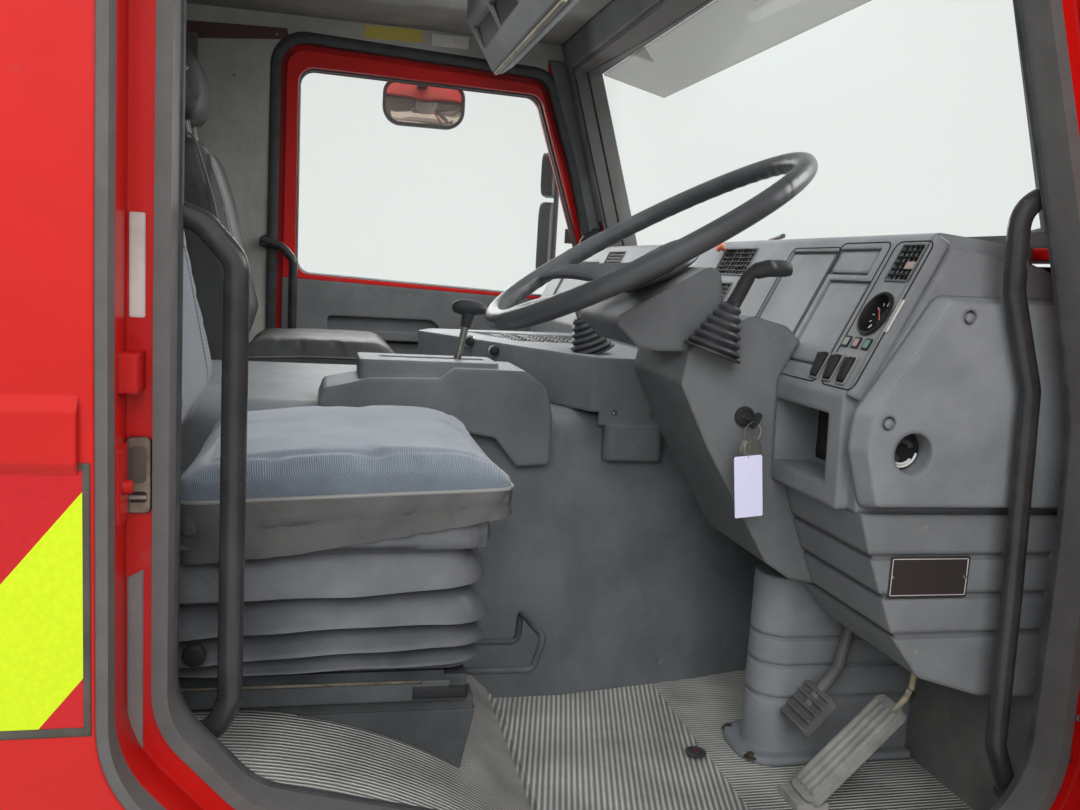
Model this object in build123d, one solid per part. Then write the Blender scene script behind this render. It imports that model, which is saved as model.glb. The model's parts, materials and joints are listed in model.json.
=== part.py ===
from build123d import *
from math import atan2, cos, degrees, hypot, pi, radians, sin, sqrt
import os

# Fire engine day cab with right-hand drive, as one unit lifted off its chassis.
# Millimetres. +X is forward, +Y is the passenger's side, +Z is up.
# The origin is the centre of the four mounting pads, on their underside.

# Body shell
half_width = 1110
side_depth = 110
lining_half = half_width - side_depth
lean_from = 840
lean = 0.035
cab_rear = -820
wall_thickness = 30
pillar_front = 680
sill_bottom = 100
roof_low = 1560
roof_thickness = 70
lining_thickness = 7
touch = 0.3

# Door opening and door
seal_width = 14
flange_lip = 5
rebate_margin = 38
outer_seal_width = 10
rebate_depth_y = lining_half + 32
seal_face_y = rebate_depth_y + 9
outer_seal_y = half_width - 30
door_inner_y = rebate_depth_y + 14
door_gap = 8
trim_inner_y = lining_half + 10
trim_gap = 18
glass_y = door_inner_y + 16
glass_thickness = 6
window_radius = 45
trim_drop = 9
hinge_x = 636
hinge_y = half_width + 4
hinge_pin_r = 6
hinge_knuckle_r = 11
hinge_clear_r = 16
hinge_rows = [420, 700]
hinge_height = 90
door_open_angle = 85
cut_near = lining_half - 100
cut_far = half_width + 190

# Floor, wheel arches and tunnel
floor_top = 150
floor_thickness = 25
arch_x = -400
arch_z = -248
arch_top_radius = 588
arch_cut_radius = arch_top_radius - 28
platform_top = arch_z + arch_top_radius
firewall_x = 655
firewall_thickness = 20
firewall_top = 925
tunnel_half = 290
mat_thickness = 8

# Mounting frame
mount_x = 560
mount_y = 400
mount_hole_r = 9
pad_size = 120
pad_height = 20
rail_width = 60
rail_wall = 6
rail_rear = -740
rail_front = 640

# Front lamps
lamp_y = half_width - 365

# Windscreen
screen_lean = 0.297
screen_low = 945
screen_high = 1482
screen_half = lining_half - 75
screen_x = 624
screen_bow = 36
screen_glass = 6
screen_frame_rear = 590
screen_frame_front = 676
screen_rail = 15

# Dashboard
dash_near = lining_half - 100
dash_cover = dash_near + 30
dash_face_x = 346
dash_top_z = 955
dash_joint_z = 614
gauge_y = dash_near - 28
gauge_v = 112
gauge_radius = 28

# Centre console
console_top = 740

# Steering
wheel_x = 175
wheel_y = -lining_half + 379
wheel_z = 933
wheel_rake = 30.8
wheel_radius = 238.6
rim_radius = 14
hub_radius = 62
spoke_angles = [118, 180, 242]
shaft_radius = 14

# Seats
seat_width = 460
driver_seat_y = -lining_half + 370
bellows_top = platform_top + 206
passenger_seat_y = lining_half - 395
passenger_base_top = platform_top + 220

# Grab handles
handle_y = lining_half - 32
handle_r = 12.5
handle_foot_r = 17


# Grab handles: rows of x, z
rear_handle = [(-440, 926), (-382, 908), (-350, 872), (-350, 430), (-362, 398), (-440, 378)]
front_handle = [(562, 1012), (505, 985), (510, 890), (548, 775), (559, 522), (564, 330), (594, 258)]

# Grab handle feet: x, z, thickness of the trim behind the foot
rear_feet = [(-429, 922, 0), (-429, 383, 0)]
front_feet = [(552, 1007, 10), (590, 264, 0)]


# Shared shapes
def outline(rows):
    """Closed 2D face from rows of first coordinate, second coordinate, corner radius."""
    points = [(u, v) for u, v, r in rows]
    radii = [r for u, v, r in rows]
    return make_face(FilletPolyline(*points, radius=radii, close=True))


def sharp(points):
    return make_face(Polyline(*points, close=True))


def plate_xz(sketch, y_low, y_high):
    plane = Plane(origin=(0, y_high, 0), x_dir=(1, 0, 0), z_dir=(0, -1, 0))
    return extrude(plane * sketch, amount=y_high - y_low)


def plate_yz(sketch, x_low, x_high):
    plane = Plane(origin=(x_low, 0, 0), x_dir=(0, 1, 0), z_dir=(1, 0, 0))
    return extrude(plane * sketch, amount=x_high - x_low)


def plate_xy(sketch, z_low, z_high):
    return extrude(Plane.XY.offset(z_low) * sketch, amount=z_high - z_low)


def block(x_low, x_high, y_low, y_high, z_low, z_high):
    size = Box(x_high - x_low, y_high - y_low, z_high - z_low)
    return Pos((x_low + x_high) / 2, (y_low + y_high) / 2, (z_low + z_high) / 2) * size


def rod(start, end, radius):
    start = Vector(*start)
    end = Vector(*end)
    plane = Plane(origin=start, z_dir=end - start)
    return extrude(plane * Circle(radius), amount=(end - start).length)


def tube(points, radius, bend, sides=10):
    """Bar along straight runs joined by arcs, with few facets round it."""
    path = FilletPolyline(*points, radius=bend)
    start = Plane(origin=path @ 0, z_dir=path % 0)
    return sweep(start * RegularPolygon(radius, sides), path=path)


def mirrored(shape):
    return mirror(shape, about=Plane.XZ)


def side_layer(inner, outer):
    """Layer of the right-hand body side between two distances from the centre plane."""
    low = -600
    high = 1900
    shift = lean * (high - lean_from)
    points = [(-inner, low), (-inner, lean_from), (-inner + shift, high),
              (-outer + shift, high), (-outer, lean_from), (-outer, low)]
    return plate_yz(sharp(points), -1300, 1300)


def cabin_space(half):
    """Everything between the two leaning body sides."""
    low = -600
    high = 1900
    shift = lean * (high - lean_from)
    points = [(-half, low), (half, low), (half, lean_from), (half - shift, high),
              (-half + shift, high), (-half, lean_from)]
    return plate_yz(sharp(points), -1300, 1300)


def side_piece(sketch, inner, outer):
    return plate_xz(sketch, -1500, -700) & side_layer(inner, outer)


def grown(sketch, amount):
    return offset(sketch, amount)


def arch_reach(radius, z):
    return arch_x + sqrt(radius ** 2 - (z - arch_z) ** 2)


def arch_angle(radius, z):
    return degrees(atan2(z - arch_z, arch_reach(radius, z) - arch_x))


def floor_line(lift):
    """Floor profile in X and Z, raised by lift: platform, wheel arch, footwell."""
    radius = arch_top_radius + lift
    low = floor_top + lift
    turn = arch_angle(radius, low)
    start = (cab_rear + wall_thickness, arch_z + radius)
    top = (arch_x, arch_z + radius)
    foot = (arch_reach(radius, low), low)
    end = (firewall_x, low)
    arc = CenterArc((arch_x, arch_z), radius, turn, 90 - turn)
    return [Line(start, top), arc, Line(foot, end)], start, end


def floor_band(low_lift, high_lift):
    upper, upper_start, upper_end = floor_line(high_lift)
    lower, lower_start, lower_end = floor_line(low_lift)
    ends = [Line(upper_end, lower_end), Line(lower_start, upper_start)]
    return make_face(upper + lower + ends)


def below_floor(lift):
    upper, start, end = floor_line(lift)
    deep = -600
    walls = [Line(end, (end[0], deep)), Line((end[0], deep), (start[0], deep)), Line((start[0], deep), start)]
    return plate_xz(make_face(upper + walls), -cut_far, cut_far)


# Door opening: rows of x, z, corner radius, on the inner edge of the seal
opening_rows = [
    (-400, 1485, 70),
    (369, 1452, 60),
    (461, 1194, 300),
    (541, 916, 300),
    (585, 745, 300),
    (592, 600, 300),
    (592, 222, 140),
    (90, 205, 150),
    (-120, 300, 150),
    (-320, 350, 80),
    (-400, 440, 80),
]
opening = outline(opening_rows)

# Door window: rows of x, z, corner radius
window_rows = [
    (-349, 1420, window_radius),
    (357, 1407, window_radius),
    (570, 797, window_radius),
    (-346, 834, window_radius),
]
window = outline(window_rows)


# Mounting frame under the floor
def make_subframe():
    rail_top = floor_top - floor_thickness
    inner = mount_y - rail_width / 2
    outer = mount_y + rail_width / 2
    rail = block(rail_rear, rail_front, -outer, -inner, pad_height, rail_top)
    channel = block(rail_rear - 1, rail_front + 1, -outer + rail_wall, -inner + 1,
                    pad_height + rail_wall, rail_top - rail_wall)
    half = rail - channel
    post = block(rail_rear, rail_rear + 80, -outer, -inner, rail_top, platform_top - floor_thickness)
    half += post
    for x in (-mount_x, mount_x):
        pad = block(x - pad_size / 2, x + pad_size / 2, -mount_y - pad_size / 2, -mount_y + pad_size / 2,
                    0, pad_height)
        half += pad
    for x in (-mount_x, mount_x):
        half -= Pos(x, -mount_y, 0) * Cylinder(mount_hole_r, 4 * pad_height)
    frame = half + mirrored(half)
    low = pad_height + rail_wall
    high = rail_top - rail_wall
    web = outer - rail_wall
    for x in (rail_rear + 80, rail_front - 70):
        frame += block(x, x + 50, -web, web, low, high)
    return frame


def make_floor_pan():
    band = floor_band(-floor_thickness, 0)
    half = plate_xz(band, -lining_half, -tunnel_half)
    rear = cab_rear + wall_thickness
    member = block(rear, rear + 50, -lining_half, lining_half, platform_top - floor_thickness, platform_top)
    wall = block(firewall_x, firewall_x + firewall_thickness, -lining_half, lining_half,
                 floor_top - floor_thickness, firewall_top)
    wall &= cabin_space(lining_half)
    wall -= block(firewall_x - 1, firewall_x + firewall_thickness + 1, -tunnel_half, tunnel_half, 0, 560)
    return half + mirrored(half) + member + wall


# Engine cover: rows of x, half width at floor, half width at top, top height
cover_rows = [
    (cab_rear + wall_thickness + lining_thickness + touch, 425, 335, 645),
    (150, 413, 330, 645),
    (410, 365, 322, 640),
    (firewall_x - touch, 300, 292, 600),
]


def cover_section(x, foot, top, height, inset):
    low = floor_top - 20
    rows = [(-foot + inset, low, 0), (-top + inset, height - inset, 45), (top - inset, height - inset, 45),
            (foot - inset, low, 0)]
    return Plane(origin=(x, 0, 0), x_dir=(0, 1, 0), z_dir=(1, 0, 0)) * outline(rows)


def cover_body(inset):
    sections = [cover_section(x, foot, top, height, inset) for x, foot, top, height in cover_rows]
    return loft(sections, ruled=True)


def make_engine_cover():
    wall = 22
    shell = cover_body(0) - cover_body(wall)
    return shell - below_floor(touch)


def make_floor_mats():
    band = floor_band(0, mat_thickness)
    mat = plate_xz(band, -lining_half + 6, -tunnel_half - 8)
    mat -= cover_body(-1)
    mat -= make_column_boot_outline(1)
    mat -= block(cab_rear, cab_rear + wall_thickness + lining_thickness + 1, -1200, 1200, 300, 400)
    left = plate_xz(band, tunnel_half + 8, lining_half - 6)
    left -= cover_body(-1)
    left -= block(cab_rear, cab_rear + wall_thickness + lining_thickness + 1, -1200, 1200, 300, 400)
    for blocker in passenger_blanks(1):
        left -= blocker
    return mat, left


def make_rear_wall():
    wall = block(cab_rear, cab_rear + wall_thickness, -lining_half, lining_half, 285, roof_low)
    wall &= cabin_space(lining_half)
    swage_height = 60
    for z in (520, 820, 1120):
        end = lining_half - 180
        rows = [(-end, z, 25), (end, z, 25), (end, z + swage_height, 25), (-end, z + swage_height, 25)]
        wall += plate_yz(outline(rows), cab_rear - 8, cab_rear)
    return wall


def make_wall_lining():
    """Padded lining on the rear wall, behind the doors and above them."""
    rear = cab_rear + wall_thickness
    low = platform_top + mat_thickness + 1
    high = roof_low - 12 - touch
    back = block(rear, rear + lining_thickness, -lining_half, lining_half, low, high) & cabin_space(lining_half)
    front_high = screen_frame_rear - screen_lean * (high - screen_low) - 3
    front_low = screen_frame_rear - screen_lean * (1502 - screen_low) - 3
    rows = [(rear, low), (rear, high), (front_high, high), (front_low, 1502), (368, 1502), (368, 1430),
            (-385, 1430), (-385, low)]
    side = side_piece(sharp(rows), lining_half - lining_thickness, lining_half)
    side -= plate_xz(grown(opening, flange_lip + 1), -cut_far, -cut_near)
    for x, z, trim in rear_feet:
        side -= rod((x, -lining_half - 10, z), (x, -lining_half + 30, z), handle_foot_r + 1)
    return back + side + mirrored(side)


def make_roof_panel():
    top = roof_low + roof_thickness
    half = half_width - lean * (roof_low - lean_from)
    roof = block(cab_rear, 530, -half, half, roof_low, top)
    upright = roof.edges().filter_by(Axis.Z)
    roof = fillet(upright, 60)
    rim = roof.faces().sort_by(Axis.Z)[-1].edges()
    roof = fillet(rim, 45)
    rib_half = 12
    for y in (-640, -320, 0, 320, 640):
        rows = [(-680, y - rib_half, 11), (340, y - rib_half, 11), (340, y + rib_half, 11),
                (-680, y + rib_half, 11)]
        roof += plate_xy(outline(rows), top, top + 6)
    return roof


def make_roof_lining():
    rear = cab_rear + wall_thickness
    front = screen_frame_rear - screen_lean * (roof_low - screen_low) - 1
    lining = block(rear, front, -lining_half, lining_half, roof_low - 12, roof_low)
    return lining & cabin_space(lining_half - 1)


# Body side with its door opening, right-hand side
def make_side_frame():
    front_top = screen_frame_front - screen_lean * (roof_low - screen_low)
    rows = [(cab_rear, sill_bottom), (cab_rear, roof_low), (front_top, roof_low),
            (screen_frame_front, screen_low), (pillar_front, 900), (pillar_front, sill_bottom)]
    frame = side_piece(sharp(rows), lining_half, half_width)
    frame -= plate_xz(grown(opening, flange_lip), -cut_far, -cut_near)
    frame -= side_piece(grown(opening, rebate_margin), rebate_depth_y, half_width + 20)
    frame -= side_piece(grown(opening, rebate_margin + outer_seal_width), outer_seal_y, half_width + 20)
    cut = Pos(arch_x, -half_width, arch_z) * Rot(90, 0, 0) * Cylinder(arch_cut_radius, 400)
    frame -= cut
    for z in hinge_rows:
        frame -= hinge_space(z)
        frame += hinge_on_frame(z)
    frame += swage()
    frame += striker_bump()
    return frame


def hinge_space(z):
    return Pos(hinge_x, -hinge_y, z + hinge_height / 2) * Cylinder(hinge_clear_r, hinge_height + 10)


def hinge_on_frame(z):
    third = hinge_height / 3
    knuckle = Pos(hinge_x, -hinge_y, z + third / 2) * Cylinder(hinge_knuckle_r, third)
    upper = Pos(hinge_x, -hinge_y, z + 2.5 * third) * Cylinder(hinge_knuckle_r, third)
    pin = Pos(hinge_x, -hinge_y, z + hinge_height / 2) * Cylinder(hinge_pin_r, hinge_height)
    leaf_end = pillar_front - 8
    leaves = block(hinge_x, leaf_end, -hinge_y - 2, -hinge_y + 6, z, z + third)
    leaves += block(hinge_x, leaf_end, -hinge_y - 2, -hinge_y + 6, z + 2 * third, z + hinge_height)
    return knuckle + upper + pin + leaves


def hinge_on_door(z):
    third = hinge_height / 3
    low = z + third + touch
    high = z + 2 * third - touch
    knuckle = Pos(hinge_x, -hinge_y, (low + high) / 2) * Cylinder(hinge_knuckle_r, high - low)
    leaf = block(hinge_x - 80, hinge_x, -hinge_y - 4, -hinge_y + 4, low, high)
    bore = Pos(hinge_x, -hinge_y, z + hinge_height / 2) * Cylinder(hinge_pin_r + touch, hinge_height)
    return knuckle + leaf - bore


def swage():
    """Pressed ridge across the rear corner panel."""
    low = 703
    high = 746
    end = grown_left_edge()
    rows = [(-half_width, low - 12), (-half_width - 7, low), (-half_width - 7, high), (-half_width, high + 12)]
    return plate_yz(sharp(rows), cab_rear + 30, end - 12)


def grown_left_edge():
    return opening_rows[0][0] - rebate_margin - outer_seal_width


def striker_bump():
    """Dovetail block and striker plate on the rear jamb."""
    jamb = opening_rows[0][0] - rebate_margin
    bump = block(jamb - 1, jamb + 16, -rebate_depth_y - 34, -rebate_depth_y + 1, 755, 790)
    plate = block(jamb - 1, jamb + 4, -rebate_depth_y - 46, -rebate_depth_y - 10, 640, 708)
    pin = Pos(jamb + 4, -rebate_depth_y - 30, 672) * Rot(0, 90, 0) * Cylinder(6, 14)
    return bump + plate + pin


def make_seals():
    face_ring = grown(opening, seal_width) - opening
    face = side_piece(face_ring, rebate_depth_y, seal_face_y)
    lip_ring = grown(opening, flange_lip) - opening
    lip = side_piece(lip_ring, lining_half - 6, rebate_depth_y)
    outer_ring = grown(opening, rebate_margin + outer_seal_width) - grown(opening, rebate_margin)
    outer = side_piece(outer_ring, outer_seal_y, half_width - 1)
    for z in hinge_rows:
        outer -= hinge_space(z)
    return face + lip + outer


# Doors
def trim_zone(lift, above):
    """Space above or below the trim's top edge, which runs just under the window."""
    front = window_rows[2][1] - trim_drop + lift
    rear = window_rows[3][1] - trim_drop + lift
    front += (front - rear) * 0.1
    end = 1900 if above else 0
    return plate_xz(sharp([(-500, rear), (700, front), (700, end), (-500, end)]), -1500, -700)


def make_door_shell():
    body = side_piece(grown(opening, rebate_margin - door_gap), door_inner_y, half_width)
    upper = side_piece(grown(opening, -trim_gap), trim_inner_y + 10, door_inner_y)
    upper &= trim_zone(touch, True)
    shell = body + upper
    shell -= plate_xz(window, -cut_far, -cut_near)
    jamb = opening_rows[0][0] - rebate_margin
    shell -= block(jamb - 1, jamb + 26, -rebate_depth_y - 44, -rebate_depth_y, 745, 800)
    shell -= block(jamb - 1, jamb + 20, -rebate_depth_y - 54, -rebate_depth_y, 652, 692)
    slot = side_piece(grown(window, 10 + touch), glass_y - touch, glass_y + glass_thickness + touch)
    shell -= slot
    cup = Pos(-290, -half_width - 12, 690) * Sphere(42)
    shell -= cup
    shell += block(-325, -255, -half_width + 4, -half_width + 14, 683, 703)
    low = 703
    high = 746
    rows = [(-half_width, low - 12), (-half_width - 7, low), (-half_width - 7, high), (-half_width, high + 12)]
    shell += plate_yz(sharp(rows), -220, 520)
    for z in hinge_rows:
        shell += hinge_on_door(z)
    return shell


def make_door_glass():
    return side_piece(grown(window, 10), glass_y, glass_y + glass_thickness)


def make_door_trim():
    """Moulded inner panel below the window, with an armrest pull and a map pocket."""
    panel = side_piece(grown(opening, -trim_gap), trim_inner_y, door_inner_y)
    panel &= trim_zone(0, False)
    pull_rows = [(-250, 640, 12), (60, 640, 12), (90, 690, 20), (60, 715, 12), (-250, 715, 12)]
    panel -= plate_xz(outline(pull_rows), -trim_inner_y - 22, -trim_inner_y + 10)
    pocket_rows = [(40, 260, 20), (480, 260, 20), (480, 400, 20), (40, 400, 20)]
    panel -= plate_xz(outline(pocket_rows), -trim_inner_y - 22, -trim_inner_y + 10)
    lip = [(20, 250, 10), (500, 250, 10), (500, 275, 10), (20, 275, 10)]
    panel += plate_xz(outline(lip), -trim_inner_y, -trim_inner_y + 14)
    rest = [(-230, 650, 8), (50, 650, 8), (50, 676, 8), (-230, 676, 8)]
    panel += plate_xz(outline(rest), -trim_inner_y - 22, -trim_inner_y + 32)
    return panel


def mirror_head(x, z, width, height, y):
    corner = min(width, height) * 0.3
    rows = [(-width / 2, -height / 2, corner), (width / 2, -height / 2, corner),
            (width / 2, height / 2, corner), (-width / 2, height / 2, corner)]
    plane = Plane(origin=(x, y, z), x_dir=(0.35, -0.94, 0), z_dir=(-0.94, -0.35, 0))
    return extrude(plane * outline(rows), amount=18, both=True)


def make_door_mirrors():
    """Two mirror heads on a tubular arm clamped to the front of the door."""
    arm_x = 470
    arm_y = -half_width - 180
    upper_z = 1200
    lower_z = 985
    foot_top = (505, -half_width + 12, 1000)
    foot_low = (560, -half_width + 2, 640)
    arm = tube([foot_top, (arm_x + 22, arm_y, 1310), (arm_x + 22, arm_y, 900), foot_low], 9, 40)
    arm += block(485, 525, -half_width - 8 + 6, -half_width + 6, 975, 1020)
    arm += block(540, 580, -half_width - 8, -half_width, 620, 665)
    heads = mirror_head(arm_x - 2, upper_z, 170, 140, arm_y) + mirror_head(arm_x - 2, lower_z, 190, 250, arm_y)
    door = make_door_shell()
    return (arm + heads) - door


def make_kerb_mirror():
    """Convex mirror that hangs outside above the passenger's window."""
    x = 27
    y = half_width + 90
    centre_z = 1375
    width = 252
    height = 135
    rows = [(x - width / 2, centre_z - height / 2, 55), (x + width / 2, centre_z - height / 2, 55),
            (x + width / 2, centre_z + height / 2, 40), (x - width / 2, centre_z + height / 2, 40)]
    head = plate_xz(outline(rows), y - 14, y + 14)
    stem_top = 1478
    stem = block(x - 16, x + 16, y - 9, y + 9, centre_z + height / 2 - 4, stem_top)
    skin = half_width - lean * (stem_top - 12 - lean_from) + touch
    arm = block(x - 16, x + 16, skin, y + 9, stem_top - 14, stem_top)
    return head + stem + arm


# Front of the cab: rows of x, y, corner radius
def front_plan(inset):
    side = half_width - inset
    nose = 785 - inset
    corner = 745 - inset
    rounding = 62 - inset * 0.95
    rows = [(600, -side, 0), (corner, -side, rounding), (nose, 0, 9000), (corner, side, rounding), (600, side, 0)]
    return outline(rows)


def make_front_panel():
    wall = 40
    profile = [(pillar_front, sill_bottom, 0), (800, sill_bottom, 0), (800, 770, 60), (752, 885, 40),
               (700, firewall_top, 0), (pillar_front, firewall_top, 0)]
    body = plate_xy(front_plan(0), sill_bottom, firewall_top) & plate_xz(outline(profile), -1200, 1200)
    hollow_profile = [(600, 0, 0), (800, 0, 0), (800 - wall, 745, 30), (718, 850, 20), (690, 885, 0), (600, 885, 0)]
    hollow = plate_xy(front_plan(wall), 0, firewall_top) & plate_xz(outline(hollow_profile), -1200, 1200)
    body -= hollow
    body -= plate_yz(outline(grille_rows(0)), 600, 900)
    for side in (-1, 1):
        body -= plate_yz(outline(lamp_rows(side, 0)), 600, 900)
    return body


def grille_rows(inset):
    half = 560 - inset
    low = 330 + inset
    high = 650 - inset
    return [(-half, low, 18), (half, low, 18), (half, high, 18), (-half, high, 18)]


def lamp_rows(side, inset):
    low = lamp_y - 85 + inset
    high = lamp_y + 195 - inset
    bottom = 330 + inset
    top = 500 - inset
    return [(side * low, bottom, 16), (side * high, bottom, 16), (side * high, top, 16), (side * low, top, 16)]


def make_grille():
    rim = 22
    frame = plate_yz(outline(grille_rows(touch)) - outline(grille_rows(rim)), 735, 762)
    slat_count = 6
    low = 330 + rim
    pitch = (320 - 2 * rim) / slat_count
    for i in range(slat_count):
        z = low + pitch * (i + 0.5)
        rows = [(738, z - 13), (758, z - 7), (758, z + 7), (738, z + 1)]
        frame += plate_xz(sharp(rows), -560 + rim - 1, 560 - rim + 1)
    for y in (-280, 0, 280):
        frame += block(736, 748, y - 6, y + 6, low - 1, 650 - rim + 1)
    return frame


def make_headlamps():
    lamps = []
    for side in (-1, 1):
        body = plate_yz(outline(lamp_rows(side, touch)), 712, 752)
        bowl = Pos(752, side * lamp_y, 415) * Rot(0, 90, 0) * Cylinder(68, 30)
        body -= bowl
        lens = Pos(745, side * lamp_y, 415) * Rot(0, 90, 0) * Cylinder(66, 16)
        body += lens
        near = side * (lamp_y + 83)
        far = side * (lamp_y + 181)
        body += plate_yz(outline([(near, 345, 8), (far, 345, 8), (far, 486, 8), (near, 486, 8)]), 750, 757)
        lamps.append(body)
    return lamps


def sheared(sketch, z_low, z_high):
    """Prism of a plan outline given at the windscreen's lower edge, leaning back as it rises."""
    shift = -screen_lean * (z_low - screen_low)
    base = Plane.XY.offset(z_low) * sketch
    rise = z_high - z_low
    solids = [Solid.extrude(face, Vector(-screen_lean * rise, 0, rise)) for face in base.faces()]
    return Pos(shift, 0, 0) * Part(solids)


def glass_plan(half, rear_extra, front_extra):
    back = ThreePointArc((screen_x - rear_extra, -half), (screen_x + screen_bow - rear_extra, 0),
                         (screen_x - rear_extra, half))
    front_x = screen_x + screen_glass + front_extra
    front = ThreePointArc((front_x, -half), (front_x + screen_bow, 0), (front_x, half))
    return make_face([back, Line(back @ 1, front @ 1), front, Line(front @ 0, back @ 0)])


def make_windscreen():
    return sheared(glass_plan(screen_half - touch, 0, 0), screen_low + touch, screen_high - touch)


def make_windscreen_frame():
    rows = [(screen_frame_rear, -half_width), (screen_frame_front, -half_width), (screen_frame_front, half_width),
            (screen_frame_rear, half_width)]
    frame = sheared(sharp(rows), screen_low - screen_rail, roof_low)
    gap = [(500, -screen_half), (760, -screen_half), (760, screen_half), (500, screen_half)]
    frame -= sheared(sharp(gap), screen_low, screen_high)
    return frame & cabin_space(lining_half)


def make_windscreen_seal():
    """Rubber profile that lines the windscreen opening and grips the glass."""
    width = 16
    half = screen_half - touch
    rear = screen_frame_rear + touch
    front = screen_frame_front - 2
    outer = sheared(sharp([(rear, -half), (front, -half), (front, half), (rear, half)]),
                    screen_low + touch, screen_high - touch)
    inner = sheared(sharp([(rear - 60, -half + width), (front + 60, -half + width), (front + 60, half - width),
                           (rear - 60, half - width)]), screen_low + width, screen_high - width)
    return outer - inner - sheared(glass_plan(half + 1, touch, touch), screen_low, screen_high)


def make_sun_visor():
    """Smoked acrylic visor outside the windscreen, on three brackets under the roof edge."""
    rows = [(522, 1467, 0), (708, 1422, 4), (711, 1414, 0), (706, 1416, 0), (522, 1461, 0)]
    visor = plate_xz(outline(rows), -lining_half + 100, lining_half - 100)
    front = screen_frame_front + touch
    low = 1467
    high = 1540
    low_x = front - screen_lean * (low - screen_low)
    high_x = front - screen_lean * (high - screen_low)
    for y in (-640, 0, 640):
        arm = [(low_x, low), (high_x, high), (high_x + 12, high), (low_x + 64, 1451)]
        visor += plate_xz(sharp(arm), y - 12, y + 12)
    return visor


def make_pillar_trim():
    """Moulded cover on the inside of each windscreen pillar."""
    top = 1500
    foot = screen_low + 15
    rear_top = screen_frame_rear - screen_lean * (top - screen_low) - 1
    rows = [(372, top), (rear_top, top), (screen_frame_rear - 5, foot), (535, foot)]
    zone = plate_xz(sharp(rows), -cut_far, -cut_near) - plate_xz(grown(opening, flange_lip + 1), -cut_far, -cut_near)
    trim = zone & side_layer(lining_half - 10, lining_half)
    return [trim, mirrored(trim)]


def make_screen_trim():
    """Dark moulded surround on the inner side of the windscreen frame."""
    rear = screen_frame_rear - 8
    front = screen_frame_rear - touch
    high = roof_low - 12 - 3
    half = lining_half - 11
    frame = sheared(sharp([(rear, -half), (front, -half), (front, half), (rear, half)]), screen_low + 16, high)
    gap_half = screen_half - 6
    gap = sheared(sharp([(500, -gap_half), (760, -gap_half), (760, gap_half), (500, gap_half)]),
                  screen_low, screen_high - 6)
    ring = (frame - gap) & cabin_space(half)
    for x, z, trim in front_feet:
        ring -= rod((x, -lining_half - 10, z), (x, -lining_half + 70, z), 2 * handle_foot_r)
        ring -= rod((x, lining_half - 70, z), (x, lining_half + 10, z), 2 * handle_foot_r)
    return ring


# Dashboard: rows of x, z, corner radius, seen from the door
dash_rows = [
    (446, dash_top_z, 12),
    (dash_face_x, 752, 10),
    (dash_face_x + 4, dash_joint_z, 0),
    (firewall_x - touch, dash_joint_z, 0),
    (firewall_x - touch, 900, 0),
    (584, 925, 0),
    (584, 944, 0),
]


def make_dashboard():
    dash = plate_xz(outline(dash_rows), -dash_near, dash_near)
    end_rows = [(460, 938, 10), (362, 750, 10), (366, dash_joint_z, 0), (firewall_x - touch, dash_joint_z, 0),
                (firewall_x - touch, 890, 0), (584, 920, 0)]
    for side in (-1, 1):
        low = side * dash_near
        high = side * (dash_near + 20)
        dash += plate_xz(outline(end_rows), min(low, high), max(low, high))
    dash &= block(0, firewall_x, -lining_half + 20, lining_half - 20, 300, 1000)
    dash -= dash_pocket()
    face = dash_face_plane()
    for y, v, width, height in dash_recesses:
        cut = face * Pos(-y, v, 0) * Box(width, height, 10)
        dash -= cut
    for y, v, width, height, columns, rows in dash_vents:
        dash -= face * Pos(-y, v, 0) * Box(width, height, 40)
        dash += face * Pos(-y, v, -7) * vent_grid(width, height, columns, rows)
    dash -= face * Pos(gauge_y, gauge_v, 0) * Cylinder(gauge_radius, 24)
    return dash - cover_body(-touch)


def dash_face_plane():
    """Plane of the sloping face: first axis towards -Y, second up the slope."""
    low_x = dash_face_x
    low_z = 752
    run = 446 - low_x
    climb = dash_top_z - low_z
    return Plane(origin=(low_x, 0, low_z), x_dir=(0, -1, 0), z_dir=(-climb, 0, run))


# Shallow blank panels: y, distance up the slope, width, height
dash_recesses = [
    (wheel_y - 9, 120, 134, 164),
    (-dash_near + 148, 185, 104, 40),
    (-dash_near + 132, 94, 104, 126),
    (630, 120, 300, 120),
]

# Air vents: y, distance up the slope, width, height, columns, rows
dash_vents = [
    (-dash_near + 20, 184, 60, 50, 5, 4),
    (-366, 184, 132, 50, 6, 3),
    (-352, 122, 104, 40, 5, 3),
    (366, 184, 132, 50, 6, 3),
    (dash_near - 20, 184, 60, 50, 5, 4),
]


def vent_grid(width, height, columns, rows):
    grid = None
    depth = 10
    bar = 4
    for i in range(1, columns):
        piece = Pos(width * (i / columns - 0.5), 0, 0) * Box(bar, height, depth)
        grid = piece if grid is None else grid + piece
    for i in range(1, rows):
        grid += Pos(0, height * (i / rows - 0.5), 0) * Box(width, bar, depth)
    return grid


def dash_pocket():
    rows = [(300, 640, 0), (420, 640, 14), (420, 728, 14), (300, 728, 0)]
    return plate_xz(outline(rows), -dash_near + 30, -dash_near + 180)


# Cover on the dashboard's door end: rows of x, z, corner radius
cover_outline = [
    (440, 880, 22),
    (350, 738, 22),
    (346, 694, 22),
    (368, 620, 14),
    (640, 620, 10),
    (640, 884, 18),
]


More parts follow.
